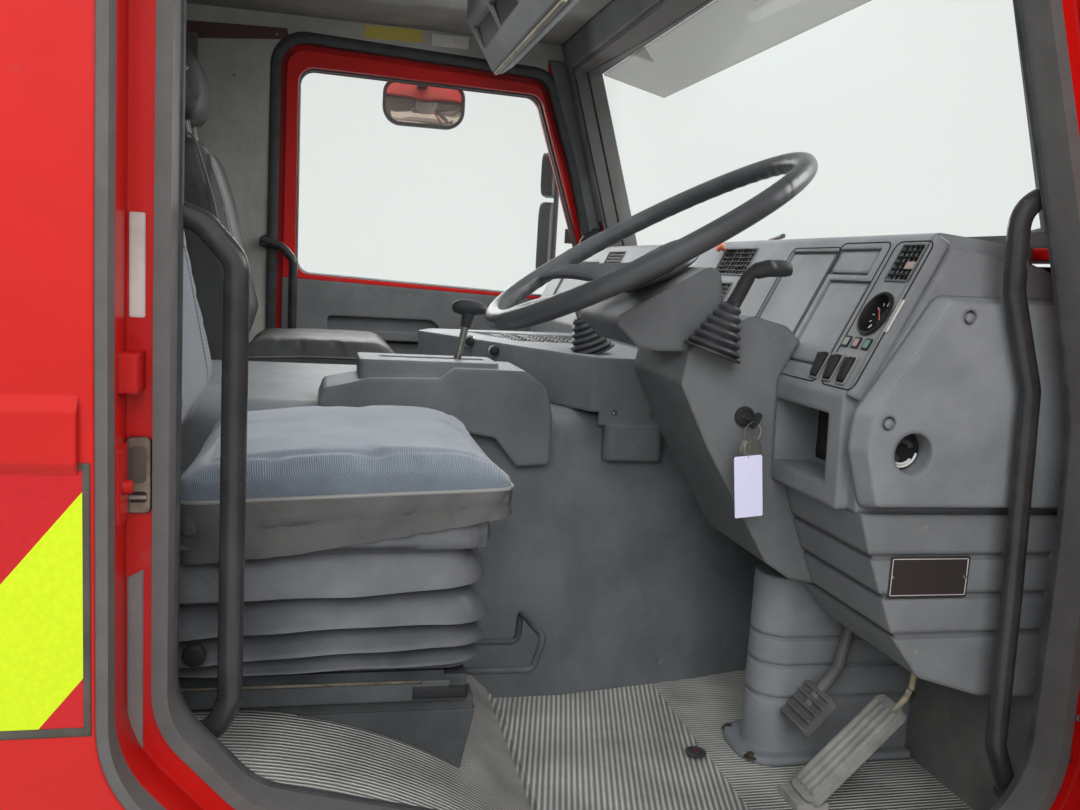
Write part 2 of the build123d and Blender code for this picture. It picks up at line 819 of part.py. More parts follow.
def make_dash_end(side):
    lower = Plane(origin=(0, -dash_near - 20 - touch, 0), x_dir=(1, 0, 0), z_dir=(0, -1, 0))
    upper = Plane(origin=(0, -dash_near - 50, 0), x_dir=(1, 0, 0), z_dir=(0, -1, 0))
    cover = loft([lower * outline(cover_outline), upper * grown(outline(cover_outline), -9)], ruled=True)
    if side < 0:
        cover -= Pos(416, -dash_near, 693) * Rot(90, 0, 0) * Cylinder(25, 200)
    for x, z in ((471, 856), (380, 728)):
        cover -= Pos(x, -dash_near - 50, z) * Rot(90, 0, 0) * Cylinder(9, 16)
        cover += Pos(x, -dash_near - 45, z) * Rot(90, 0, 0) * Cylinder(5.5, 8)
    return cover if side < 0 else mirrored(cover)


# Lower panel beneath the dashboard: rows of x, z, corner radius
lower_rows = [
    (368, dash_joint_z - touch, 0),
    (386, 560, 12),
    (430, 455, 12),
    (470, 405, 20),
    (560, 378, 0),
    (firewall_x - touch, 372, 0),
    (firewall_x - touch, dash_joint_z - touch, 0),
]


def make_lower_panel(side):
    far = dash_near - 200
    panel = plate_xz(outline(lower_rows), -dash_cover, -far)
    inner = plate_xz(grown(outline(lower_rows), -6), -dash_cover + 6, -far + 10)
    for z in (561, 511, 460):
        groove = block(300, firewall_x - 12, -dash_cover - 1, -far + 1, z - 4, z + 4)
        panel -= groove - inner
    if side > 0:
        return mirrored(panel)
    return panel - column_cowl_blank(touch) - make_column_boot_outline(1)


def make_passenger_lower():
    rows = [(385, dash_joint_z - touch, 0), (400, 500, 30), (460, 440, 30), (firewall_x - touch, 430, 0),
            (firewall_x - touch, dash_joint_z - touch, 0)]
    end = dash_near - 200
    box = plate_xz(outline(rows), 340, end - touch)
    rim = plate_xz(grown(outline(rows), -8), 352, end - 10)
    seam = block(300, 480, 330, end + 10, 452, 456)
    return box - (seam - rim) - cover_body(-touch)


def make_centre_console():
    """Switch console between dashboard and engine cover, angled towards the driver."""
    low = console_top - 94
    high = console_top
    plan_rows = [(190, -352, 14), (dash_face_x - touch, -352, 0), (dash_face_x - touch, 300, 0), (-30, 235, 14),
                 (-65, 145, 14)]
    body = plate_xy(outline(plan_rows), low, high)
    skirt_rows = [(200, -352, 5), (dash_face_x - 10, -352, 0), (dash_face_x - 10, -334, 0), (212, -334, 0)]
    body += plate_xy(outline(skirt_rows), 622, low)
    pedestal = [(216, -362, 16), (326, -362, 16), (322, -300, 0), (220, -300, 0)]
    body += plate_xy(outline(pedestal), 562, 625)
    body -= plate_xy(outline([(120, -40, 8), (300, -40, 8), (300, 190, 8), (40, 190, 8)]), high - 12, high + 5)
    body -= cover_body(-touch)
    return body - column_cowl_blank(touch)


# Steering column cowl: rows of x, z, corner radius
cowl_rows = [
    (214, 792, 18),
    (205, 742, 16),
    (250, 655, 30),
    (352, 492, 18),
    (390, 468, 10),
    (470, 452, 10),
    (520, 600, 20),
    (440, 740, 20),
    (352, 826, 24),
    (300, 838, 16),
]


# Switch housing under the wheel: rows of x, z, corner radius
housing_rows = [
    (106, 824, 12),
    (252, 909, 16),
    (262, 838, 20),
    (240, 786, 10),
    (172, 784, 14),
    (145, 788, 14),
]


def column_cowl_blank(grow):
    profile = outline(cowl_rows)
    if grow:
        profile = grown(profile, grow)
    return plate_xz(profile, wheel_y - 107 - grow, wheel_y + 101 + grow)


def wheel_plane(drop):
    tilt = radians(wheel_rake)
    normal = Vector(-sin(tilt), 0, cos(tilt))
    centre = Vector(wheel_x, wheel_y, wheel_z) - normal * drop
    return Plane(origin=centre, x_dir=(cos(tilt), 0, sin(tilt)), z_dir=normal)


def make_column_cowl():
    """Two-piece cowl: a tall lower boot and the switch housing under the wheel."""
    body = column_cowl_blank(0)
    half = 95
    body += plate_xz(outline(housing_rows), wheel_y - half, wheel_y + half)
    body -= wheel_plane(76) * Cylinder(shaft_radius + touch, 50)
    stalk = wheel_plane(80)
    body += rod(tuple(stalk.from_local_coords((0, 90, 0))), tuple(stalk.from_local_coords((0, 205, 7))), 8)
    body -= make_dash_union()
    return body


def make_dash_union():
    return plate_xz(outline(dash_rows), -dash_near, dash_near)


def make_steering_wheel():
    """Large truck wheel: three spokes towards the driver and a hub sunk below the rim."""
    plane = wheel_plane(0)
    section = Plane.XZ * Pos(wheel_radius, 0) * RegularPolygon(rim_radius, 8)
    rim = plane * revolve(section, axis=Axis.Z)
    hub = plane * Pos(0, 0, -45) * Cylinder(hub_radius, 16)
    pad = plane * Pos(0, 0, -37) * extrude(RectangleRounded(118, 118, 34), amount=10, taper=20)
    shaft = plane * Pos(0, 0, -76) * Cylinder(shaft_radius, 48)
    wheel = rim + hub + pad + shaft
    for angle in spoke_angles:
        start = hub_radius - 18
        end = wheel_radius - 3
        inner = Plane(origin=(start, 0, -44), x_dir=(0, 1, 0), z_dir=(1, 0, 0)) * RectangleRounded(70, 16, 6)
        outer = Plane(origin=(end, 0, -1), x_dir=(0, 1, 0), z_dir=(1, 0, 0)) * RectangleRounded(44, 14, 5)
        wheel += plane * Rot(0, 0, angle) * loft([inner, outer], ruled=True)
    return wheel


def gaiter(start, end, base_r, top_r, folds):
    """Folded rubber boot from base to top, as a ruled loft of many-sided rings."""
    start = Vector(*start)
    end = Vector(*end)
    length = (end - start).length
    plane = Plane(origin=start, z_dir=end - start)
    rings = [(0, base_r)]
    for i in range(folds):
        radius = base_r + (top_r - base_r) * (i + 0.5) / folds
        rings.append((length * (i + 0.5) / folds, radius + 2.5))
        rings.append((length * (i + 1) / folds, radius - 4))
    sides = 12
    sections = [plane * Pos(0, 0, z) * RegularPolygon(radius, sides) for z, radius in rings]
    return loft(sections, ruled=True)


def make_column_lever():
    """Hand lever with gaiter on the side of the column."""
    side = wheel_y - 119
    base = (240, side, 786)
    neck = (262, side - 2, 852)
    elbow = (285, side - 5, 898)
    tip = (320, side - 6, 903)
    lever = gaiter(base, neck, 37, 12, 5)
    lever += tube([neck, elbow, tip], 8, 12)
    lever += rod((308, side - 6, 902), (340, side - 6, 903), 12)
    return lever - make_column_cowl()


def make_console_lever():
    """Hand valve on the centre console: gaiter, stem and button."""
    base = (213, -250, console_top + touch)
    neck = (188, -250, console_top + 63)
    lever = gaiter(base, neck, 42, 13, 5)
    lever += rod(neck, (172, -250, console_top + 102), 7)
    lever += rod((174, -250, console_top + 94), (168, -250, console_top + 112), 13)
    return lever - block(0, 500, -400, 0, 600, console_top + touch)


# Gear console on the engine cover: rows of x, z, corner radius
gear_rows = [
    (-272, 646, 6),
    (-262, 676, 10),
    (-190, 693, 10),
    (-75, 696, 8),
    (-52, 714, 8),
    (68, 714, 14),
    (104, 688, 24),
    (117, 640, 24),
    (117, 556, 8),
    (60, 552, 8),
    (20, 600, 0),
    (-180, 636, 0),
]


def make_gear_console():
    body = plate_xz(outline(gear_rows), -372, -215)
    box_rows = [(-206, -345, 8), (26, -345, 8), (26, -225, 8), (-206, -225, 8)]
    body += plate_xy(outline(box_rows), 660, 722)
    body -= block(-170, 10, -290, -266, 700, 730)
    body -= cover_body(-touch)
    return body


def make_gear_selector():
    """Selector stem with a hammer-shaped knob."""
    slot_floor = 700
    stem = rod((-42, -278, slot_floor - 8), (-17, -266, 792), 7)
    knob_rows = [(-48, 806, 12), (-38, 825, 10), (4, 823, 10), (15, 808, 6), (2, 792, 6), (-8, 780, 3),
                 (-26, 780, 3), (-44, 790, 8)]
    knob = plate_xz(outline(knob_rows), -279, -253)
    return stem + knob - block(-300, 200, -400, -100, 600, slot_floor + touch)


# Lower column boot: a round-ended post that runs forward as a wall
def make_column_boot_outline(grow):
    half = 46 + grow
    start = 442
    low = wheel_y - half
    high = wheel_y + half
    rows = [(start - half, low, half * 0.98), (firewall_x + 40, low, 0), (firewall_x + 40, high, 0),
            (start - half, high, half * 0.98)]
    post = plate_xy(outline(rows), floor_top + touch, 446)
    return post & block(0, firewall_x - touch, -half_width, 0, 0, 1000)


def make_column_boot():
    post = make_column_boot_outline(0)
    inner = make_column_boot_outline(-4)
    for z in (352, 308, 256):
        post -= block(300, firewall_x, wheel_y - 80, wheel_y + 80, z - 3, z + 3) - inner
    low_y = wheel_y - 65
    high_y = wheel_y + 67
    rows = [(376, low_y, 52), (firewall_x - 4, low_y, 0), (firewall_x - 4, high_y, 0), (376, high_y, 52)]
    low = floor_top + mat_thickness + touch
    flange = plate_xy(outline(rows), low, low + 12)
    return post + flange


def pedal_frame(bottom, top):
    """Plane of an inclined pedal pad, x up the pad and y across the cab."""
    run = Vector(top[0] - bottom[0], 0, top[2] - bottom[2])
    middle = (Vector(*bottom) + Vector(*top)) * 0.5
    up = run.normalized()
    return Plane(origin=middle, x_dir=up, z_dir=up.cross(Vector(0, 1, 0)) * -1), run.length


def make_brake_pedal():
    y = wheel_y - 91
    plane, length = pedal_frame((424, y, 240), (470, y, 292))
    pad = plane * extrude(RectangleRounded(length, 74, 8), amount=12)
    count = 5
    for i in range(count):
        u = -length / 2 + length * (i + 0.5) / count
        pad += plane * Pos(u, 0, -3) * Box(5, 66, 6)
    arm = tube([(448, y, 262), (500, y + 12, 320), (532, y + 28, 430), (585, y + 28, 466),
                (firewall_x - touch, y + 28, 466)], 9, 20)
    return pad + arm


def make_accelerator():
    """Floor-hinged pedal with a moulded tread and its bent wire link."""
    y = wheel_y - 163
    plane, length = pedal_frame((406, y, 174), (538, y - 6, 306))
    pad = plane * extrude(RectangleRounded(length, 62, 14), amount=14)
    ribs = 4
    for i in range(ribs):
        v = -22 + 44 * i / (ribs - 1)
        pad += plane * Pos(0, v, -2) * Box(length - 26, 5, 5)
    heel = block(392, 440, y - 28, y + 28, floor_top + mat_thickness + touch, floor_top + mat_thickness + 12)
    link = tube([(532, y - 16, 292), (548, y - 28, 330), (556, y - 22, 372)], 4, 12)
    return pad + heel + link


# Driver's suspension seat
def make_driver_base():
    """Wedge plinth over the wheel arch, slide rails, adjuster hoop and seat pan."""
    low = platform_top + mat_thickness + touch
    top = platform_top - 3
    near = driver_seat_y - 190
    far = driver_seat_y + 190
    base = plate_xz(sharp([(-520, 200), (-520, top), (-69, top), (-97, 200)]), near, far + 20)
    for y in (near + 20, far - 20):
        base += block(-500, -82, y - 20, y + 20, low, low + 34)
        base += block(-400, -72, y - 17, y + 17, platform_top - 10, low + 5)
    base -= Pos(arch_x, 0, arch_z) * Rot(90, 0, 0) * Cylinder(arch_top_radius + mat_thickness + touch, 3000)
    base -= block(-900, arch_x, -1200, 1200, 0, low)
    base += block(-470, -110, near, far, low + 30, low + 40)
    base += block(-135, -112, near + 65, near + 195, low - 5.3, low + 31)
    bar_z = platform_top + 10
    hoop = [(-120, near + 80, bar_z + 2), (20, near + 80, bar_z), (34, near + 80, bar_z + 45),
            (22, near + 180, bar_z + 45), (20, near + 180, bar_z), (-120, near + 180, bar_z + 2)]
    base += tube(hoop, 5, 12)
    pan_low = bellows_top + touch
    pan_rows = [(-545, pan_low), (-66, pan_low), (-66, bellows_top + 44), (-440, bellows_top + 4.6),
                (-545, bellows_top + 5.2)]
    pan = plate_xz(sharp(pan_rows), driver_seat_y - 200, driver_seat_y + 200)
    return [base, pan]


# Folded skirt of the suspension: rows of height share and swell
fold_rows = [(0.0, 0), (0.12, -16), (0.28, 8), (0.42, -14), (0.60, 10), (0.74, -12), (0.90, 12), (1.0, 0)]


def make_driver_bellows():
    low = platform_top + mat_thickness + touch + 40 + touch
    high = bellows_top
    sections = []
    for share, swell in fold_rows:
        z = low + (high - low) * share
        plane = Plane.XY.offset(z)
        centre = Pos(-262, driver_seat_y)
        sections.append(plane * centre * RectangleRounded(380 + 2 * swell, 400 + 2 * swell, 50))
    return loft(sections, ruled=True)


def make_driver_cushion():
    base = bellows_top + 5
    rows = [(-440, base, 20), (-70, base + 39, 22), (-40, base + 49, 16), (-46, base + 89, 24),
            (-110, base + 121, 60), (-440, base + 99, 30)]
    return plate_xz(outline(rows), driver_seat_y - seat_width / 2, driver_seat_y + seat_width / 2)


def make_driver_backrest():
    """Bolstered back with a lumbar swell and a headrest on two posts."""
    base = bellows_top
    rows = [(-472, base + 54, 12), (-446, base + 107, 10), (-428, base + 144, 20), (-460, base + 304, 60),
            (-542, base + 704, 30), (-612, base + 704, 30), (-585, base + 354, 60), (-545, base + 54, 15)]
    back = plate_xz(outline(rows), driver_seat_y - 225, driver_seat_y + 225)
    head_rows = [(-552, base + 739, 25), (-566, base + 874, 30), (-634, base + 874, 30), (-640, base + 739, 25)]
    head = plate_xz(outline(head_rows), driver_seat_y - 120, driver_seat_y + 120)
    posts = rod((-580, driver_seat_y - 60, base + 694), (-592, driver_seat_y - 60, base + 754), 6)
    posts += rod((-580, driver_seat_y + 60, base + 694), (-592, driver_seat_y + 60, base + 754), 6)
    bracket = block(-535, -490, driver_seat_y - 180, driver_seat_y + 180, base + 5.5, base + 64)
    return back + head + posts + bracket


# Passenger's fixed seat
def passenger_blanks(grow):
    half = seat_width / 2 - 20 + grow
    top = passenger_base_top
    rows = [(-520 - grow, 200), (-520 - grow, top), (-110 + grow, top), (-110 + grow, 200)]
    return [plate_xz(sharp(rows), passenger_seat_y - half, passenger_seat_y + half)]


def make_passenger_base():
    box = passenger_blanks(0)[0] - below_floor(touch)
    return box - cover_body(-touch)


def make_passenger_cushion():
    base = passenger_base_top
    rows = [(-470, base + touch, 12), (-80, base + 12, 20), (-54, base + 40, 24), (-64, base + 100, 34),
            (-120, base + 126, 50), (-470, base + 116, 20)]
    return plate_xz(outline(rows), passenger_seat_y - seat_width / 2, passenger_seat_y + seat_width / 2)


def make_passenger_backrest():
    base = passenger_base_top
    rows = [(-472, base + 80, 20), (-440, base + 180, 40), (-505, base + 450, 80), (-548, base + 590, 30),
            (-640, base + 590, 40), (-600, base + 340, 60), (-545, base + touch, 10), (-474, base + touch, 0)]
    back = plate_xz(outline(rows), passenger_seat_y - 225, passenger_seat_y + 225)
    head_rows = [(-552, base + 620, 30), (-560, base + 790, 40), (-640, base + 790, 40), (-650, base + 620, 30)]
    back += plate_xz(outline(head_rows), passenger_seat_y - 130, passenger_seat_y + 130)
    for y in (-60, 60):
        back += rod((-596, passenger_seat_y + y, base + 580), (-602, passenger_seat_y + y, base + 640), 7)
    return back - make_passenger_cushion()


def make_overhead_console():
    """Hanging radio box behind the windscreen header, with a recessed face."""
    rows = [(98, 1328, 8), (34, 1433, 12), (34, roof_low - 12 - touch, 0), (230, roof_low - 12 - touch, 0),
            (150, 1345, 30), (118, 1322, 8)]
    box = plate_xz(outline(rows), -330, 330)
    slot = [(20, 1360), (80, 1372), (62, 1412), (20, 1420)]
    for y in (-300, -95, 110):
        box -= plate_xz(sharp(slot), y, y + 190)
    return box


def make_grab_handle(points, bend, feet):
    """Bent tube on two round feet: rows of foot x, z and the thickness of trim under it."""
    path = [(x, -handle_y, z) for x, z in points]
    bar = tube(path, handle_r, bend)
    for x, z, trim in feet:
        face = lining_half - trim - touch - lean * max(0, z + handle_foot_r - lean_from)
        bar += rod((x, -handle_y + handle_r - 3, z), (x, -face, z), handle_foot_r)
    return bar


def make_steps():
    """Entry step below the door: a moulded well with a tread plate."""
    outer = half_width - 4
    well = block(70, 600, -outer, -lining_half + 110, -150, sill_bottom)
    hollow = block(100, 570, -outer - 10, -lining_half + 80, -118, sill_bottom - 24)
    step = well - hollow
    step -= block(60, 610, -lining_half + touch, -lining_half + 120, sill_bottom - 1, 300)
    lip = fillet(block(100, 570, -outer, -outer + 26, -118.5, -106).edges().filter_by(Axis.X), 5)
    return step + lip


def make_beacon_bar():
    top = roof_low + roof_thickness
    bar = block(-260, -80, -600, 600, top + 18, top + 44)
    for y in (-420, 420):
        bar += block(-220, -120, y - 30, y + 30, top, top + 20)
    for side in (-1, 1):
        low = side * 230
        high = side * 610
        rows = [(-275, top + 44, 0), (-255, top + 150, 40), (-85, top + 150, 40), (-65, top + 44, 0)]
        lens = plate_xz(outline(rows), min(low, high), max(low, high))
        bar += lens
    return bar


def make_wipers():
    arms = []
    for y in (-520, 330):
        foot = Pos(706, y, firewall_top + touch + 9) * Cylinder(16, 18)
        lean_x = screen_x + screen_bow + screen_glass + 26
        start = (706, y, firewall_top + 14)
        rise = 42
        reach = (lean_x - screen_lean * rise + 14, y - 330, screen_low + rise)
        arm = rod(start, reach, 5)
        arms.append(foot + arm)
    return arms


os.makedirs("parts", exist_ok=True)


def solids_of(shape):
    if isinstance(shape, (list, tuple)):
        return [solid for piece in shape for solid in piece.solids()]
    return shape.solids()


def write(name, shape):
    solids = solids_of(shape)
    export_step(Compound(children=solids) if len(solids) > 1 else solids[0], f"parts/{name}.step")


def open_door(shape):
    """Right-hand door parts are stored open, as they stand in use."""
    pivot = Axis((hinge_x, -hinge_y, 0), (0, 0, 1))
    if isinstance(shape, (list, tuple)):
        return [piece.rotate(pivot, door_open_angle) for piece in shape]
    return shape.rotate(pivot, door_open_angle)


seals = make_seals()
side_frame = make_side_frame()
door_shell = make_door_shell()
door_glass = make_door_glass()
door_trim = make_door_trim()
door_mirrors = make_door_mirrors()
handles = [make_grab_handle(rear_handle, 30, rear_feet), make_grab_handle(front_handle, 24, front_feet)]

nodes = {
    "subframe": make_subframe(),
    "floor_pan": make_floor_pan(),
    "engine_cover": make_engine_cover(),
    "floor_mats": make_floor_mats(),
    "rear_wall": make_rear_wall(),
    "wall_lining": make_wall_lining(),
    "roof_panel": make_roof_panel(),
    "roof_lining": make_roof_lining(),
    "side_frame_right": side_frame,
    "side_frame_left": mirrored(side_frame),
    "seals_right": seals,
    "seals_left": mirrored(seals),
    "front_panel": make_front_panel(),
    "grille": make_grille(),
    "headlamps": make_headlamps(),
    "windscreen": make_windscreen(),
    "windscreen_frame": make_windscreen_frame(),
    "windscreen_seal": make_windscreen_seal(),
    "sun_visor": make_sun_visor(),
    "pillar_trim": make_pillar_trim() + [make_screen_trim()],
    "dashboard": make_dashboard(),
    "dash_end_covers": [make_dash_end(-1), make_dash_end(1)],
    "lower_panels": [make_lower_panel(-1), make_lower_panel(1), make_passenger_lower()],
    "centre_console": make_centre_console(),
    "column_cowl": make_column_cowl(),
    "column_boot": make_column_boot(),
    "column_lever": make_column_lever(),
    "console_lever": make_console_lever(),
    "gear_console": make_gear_console(),
    "gear_selector": make_gear_selector(),
    "brake_pedal": make_brake_pedal(),
    "accelerator_pedal": make_accelerator(),
    "overhead_console": make_overhead_console(),
    "driver_seat_base": make_driver_base(),
    "driver_seat_bellows": make_driver_bellows(),
    "driver_seat_cushion": make_driver_cushion(),
    "driver_seat_backrest": make_driver_backrest(),
    "passenger_seat_base": make_passenger_base(),
    "passenger_seat_cushion": make_passenger_cushion(),
    "passenger_seat_backrest": make_passenger_backrest(),
    "grab_handles_right": handles,
    "grab_handles_left": [mirrored(handle) for handle in handles],
    "steps": [make_steps(), mirrored(make_steps())],
    "beacon_bar": make_beacon_bar(),
    "wipers": make_wipers(),
    "steering_wheel": make_steering_wheel(),
    "door_right_shell": open_door(door_shell),
    "door_right_glass": open_door(door_glass),
    "door_right_trim": open_door(door_trim),
    "door_right_mirrors": open_door(door_mirrors),
    "door_left_shell": mirrored(door_shell),
    "door_left_glass": mirrored(door_glass),
    "door_left_trim": mirrored(door_trim),
    "door_left_mirrors": [mirrored(door_mirrors), make_kerb_mirror()],
}

for name, shape in nodes.items():
    write(name, shape)
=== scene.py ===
import bpy
import bmesh
import json
import math
import random
from mathutils import Matrix, Vector
from mathutils.bvhtree import BVHTree


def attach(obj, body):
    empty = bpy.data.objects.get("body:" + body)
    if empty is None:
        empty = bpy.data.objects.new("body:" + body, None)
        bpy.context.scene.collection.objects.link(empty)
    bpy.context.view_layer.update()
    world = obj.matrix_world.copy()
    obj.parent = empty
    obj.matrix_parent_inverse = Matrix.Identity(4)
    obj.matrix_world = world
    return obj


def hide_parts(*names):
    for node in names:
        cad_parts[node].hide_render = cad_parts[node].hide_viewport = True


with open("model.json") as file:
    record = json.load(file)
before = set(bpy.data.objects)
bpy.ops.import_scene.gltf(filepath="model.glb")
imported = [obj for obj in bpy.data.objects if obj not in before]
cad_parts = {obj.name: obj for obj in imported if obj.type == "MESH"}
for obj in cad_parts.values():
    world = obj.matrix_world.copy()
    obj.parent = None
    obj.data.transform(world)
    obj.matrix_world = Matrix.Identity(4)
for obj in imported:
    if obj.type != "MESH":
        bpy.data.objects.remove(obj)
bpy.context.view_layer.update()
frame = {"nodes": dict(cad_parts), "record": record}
nodes = frame["nodes"]
slotOfNode = {entry["node"]: entry["material_slot"] for entry in frame["record"]["subparts"]}
print("frame loaded:", len(nodes), "nodes")

scene = bpy.context.scene
scene.view_settings.view_transform = "Standard"


# camera, at the open driver's door
camera = {
    "place": (-0.2705, -1.9528, 0.8797),
    "yaw": 13.0,      # degrees from straight across the cab towards the front
    "down": 7.78,
    "roll": 3.39,
    "lens": 32.4,
}


def buildCamera(c):
    yaw, down, roll = (math.radians(c[k]) for k in ("yaw", "down", "roll"))
    forward = Vector((math.sin(yaw) * math.cos(down), math.cos(yaw) * math.cos(down), -math.sin(down)))
    level = Vector((math.cos(yaw), -math.sin(yaw), 0))
    right = level * math.cos(roll) - forward.cross(level) * math.sin(roll)
    lower = forward.cross(right)
    turn = Matrix((right, -lower, -forward)).transposed()
    data = bpy.data.cameras.new("doorCamera")
    data.lens = c["lens"]
    data.sensor_width = 36
    data.clip_start = 0.02
    data.clip_end = 60
    eye = bpy.data.objects.new("doorCamera", data)
    eye.matrix_world = Matrix.Translation(c["place"]) @ turn.to_4x4()
    scene.collection.objects.link(eye)
    scene.camera = eye


buildCamera(camera)


# materials
def linearColour(hexText):
    channels = [int(hexText[i:i + 2], 16) / 255 for i in (1, 3, 5)]
    return [c / 12.92 if c <= 0.04045 else ((c + 0.055) / 1.055) ** 2.4 for c in channels] + [1.0]


def addNode(tree, kind, values=(), links=(), **settings):
    node = tree.nodes.new(kind)
    for name, value in settings.items():
        setattr(node, name, value)
    for name, value in dict(values).items():
        node.inputs[name].default_value = value
    for name, socket in dict(links).items():
        tree.links.new(socket, node.inputs[name])
    return node


def startMaterial(name, **values):
    material = bpy.data.materials.new(name)
    material.use_nodes = True
    tree = material.node_tree
    tree.nodes.clear()
    shader = addNode(tree, "ShaderNodeBsdfPrincipled", values={k.replace("_", " "): v for k, v in values.items()})
    output = addNode(tree, "ShaderNodeOutputMaterial", links={"Surface": shader.outputs[0]})
    output.location = (400, 0)
    return material, tree, shader


def setRamp(ramp, stops):
    elements = ramp.color_ramp.elements
    while len(elements) < len(stops):
        elements.new(0.5)
    for element, (place, colour) in zip(elements, stops):
        element.position = place
        element.color = colour


def objectPlace(tree):
    return addNode(tree, "ShaderNodeTexCoord").outputs["Object"]


def mottle(tree, shader, dark, light, scale, low=0.35, high=0.65, detail=6.0):
    place = objectPlace(tree)
    noise = addNode(tree, "ShaderNodeTexNoise", values={"Scale": scale, "Detail": detail, "Roughness": 0.6},
                    links={"Vector": place})
    ramp = addNode(tree, "ShaderNodeValToRGB", links={"Fac": noise.outputs["Fac"]})
    setRamp(ramp, [(low, linearColour(dark)), (high, linearColour(light))])
    tree.links.new(ramp.outputs["Color"], shader.inputs["Base Color"])
    return place, ramp.outputs["Color"]


def overlay(tree, shader, base, place, colour, scale, low, high, detail=8.0, stretch=(1, 1, 1)):
    # spots or streaks of another colour over the base, where a stretched noise is high
    mapping = addNode(tree, "ShaderNodeMapping", values={"Scale": stretch}, links={"Vector": place})
    noise = addNode(tree, "ShaderNodeTexNoise", values={"Scale": scale, "Detail": detail, "Roughness": 0.65},
                    links={"Vector": mapping.outputs[0]})
    mask = addNode(tree, "ShaderNodeMapRange", values={"From Min": low, "From Max": high},
                   links={"Value": noise.outputs["Fac"]})
    mix = addNode(tree, "ShaderNodeMix", links={"Factor": mask.outputs[0], "A": base}, data_type="RGBA")
    mix.inputs["B"].default_value = linearColour(colour)
    tree.links.new(mix.outputs["Result"], shader.inputs["Base Color"])
    return mix.outputs["Result"]


def roundEdges(tree, radius):
    # moulded and pressed edges catch the light as if they had a small radius
    return addNode(tree, "ShaderNodeBevel", values={"Radius": radius}, samples=4).outputs["Normal"]


def grain(tree, shader, place, scale, height, strength=1.0, kind="voronoi", edge=0.0):
    if kind == "voronoi":
        cells = addNode(tree, "ShaderNodeTexVoronoi", values={"Scale": scale}, links={"Vector": place})
        source = cells.outputs["Distance"]
    else:
        cells = addNode(tree, "ShaderNodeTexNoise", values={"Scale": scale, "Detail": 3.0}, links={"Vector": place})
        source = cells.outputs["Fac"]
    links = {"Height": source, "Normal": roundEdges(tree, edge)} if edge else {"Height": source}
    bump = addNode(tree, "ShaderNodeBump", values={"Strength": strength, "Distance": height}, links=links)
    tree.links.new(bump.outputs["Normal"], shader.inputs["Normal"])
    return bump


def enamelRed():
    # two-pack coach enamel, sprayed: deep even red, faint orange peel, road dust in the corners
    material, tree, shader = startMaterial("enamelRed", Roughness=0.42, IOR=1.5, Coat_Weight=0.05, Coat_Roughness=0.2)
    place, colour = mottle(tree, shader, "#b40b06", "#bf0f08", 5)
    overlay(tree, shader, colour, place, "#a04a42", 9, 0.62, 0.8)
    grain(tree, shader, place, 260, 0.0004, 0.25, "noise", edge=0.005)
    return material


def pressedDark(name, dark, light, roughness, wear=None):
    # paint over pressed steel: satin, dusty in patches, rubbed through where wear names a colour
    material, tree, shader = startMaterial(name, Roughness=roughness, IOR=1.5)
    place, colour = mottle(tree, shader, dark, light, 14)
    if wear:
        overlay(tree, shader, colour, place, wear, 60, 0.66, 0.70, stretch=(1, 1, 0.35))
    grain(tree, shader, place, 420, 0.0004, 0.4, "noise", edge=0.003)
    return material


def mouldedPlastic(name, dark, light, roughness=0.55, grainSize=1.6, height=0.0006, scuff=None):
    # injection-moulded ABS or PP with a leather grain: fine cells, a soft broken sheen, pale scuffs
    material, tree, shader = startMaterial(name, Roughness=roughness, IOR=1.49)
    place, colour = mottle(tree, shader, dark, light, 9)
    if scuff:
        overlay(tree, shader, colour, place, scuff, 34, 0.66, 0.78)
    grain(tree, shader, place, 1000 / grainSize, height, 0.55, edge=0.009)
    return material


def rubberBlack(name, dark, light, roughness=0.6):
    # extruded EPDM: dull, greyer where it has been rubbed
    material, tree, shader = startMaterial(name, Roughness=roughness, IOR=1.52)
    place, colour = mottle(tree, shader, dark, light, 30)
    grain(tree, shader, place, 900, 0.0003, 0.4, "noise")
    return material


def clearGlass(name, tint, alpha, roughness=0.02):
    # toughened soda-lime glass or acrylic sheet: its tint is in the alpha
    material, tree, shader = startMaterial(name, Base_Color=linearColour(tint), Roughness=roughness, IOR=1.5,
                                           Alpha=alpha)
    return material


def plainSurface(name, colour, roughness=0.5, **values):
    material, tree, shader = startMaterial(name, Base_Color=linearColour(colour), Roughness=roughness, **values)
    return material


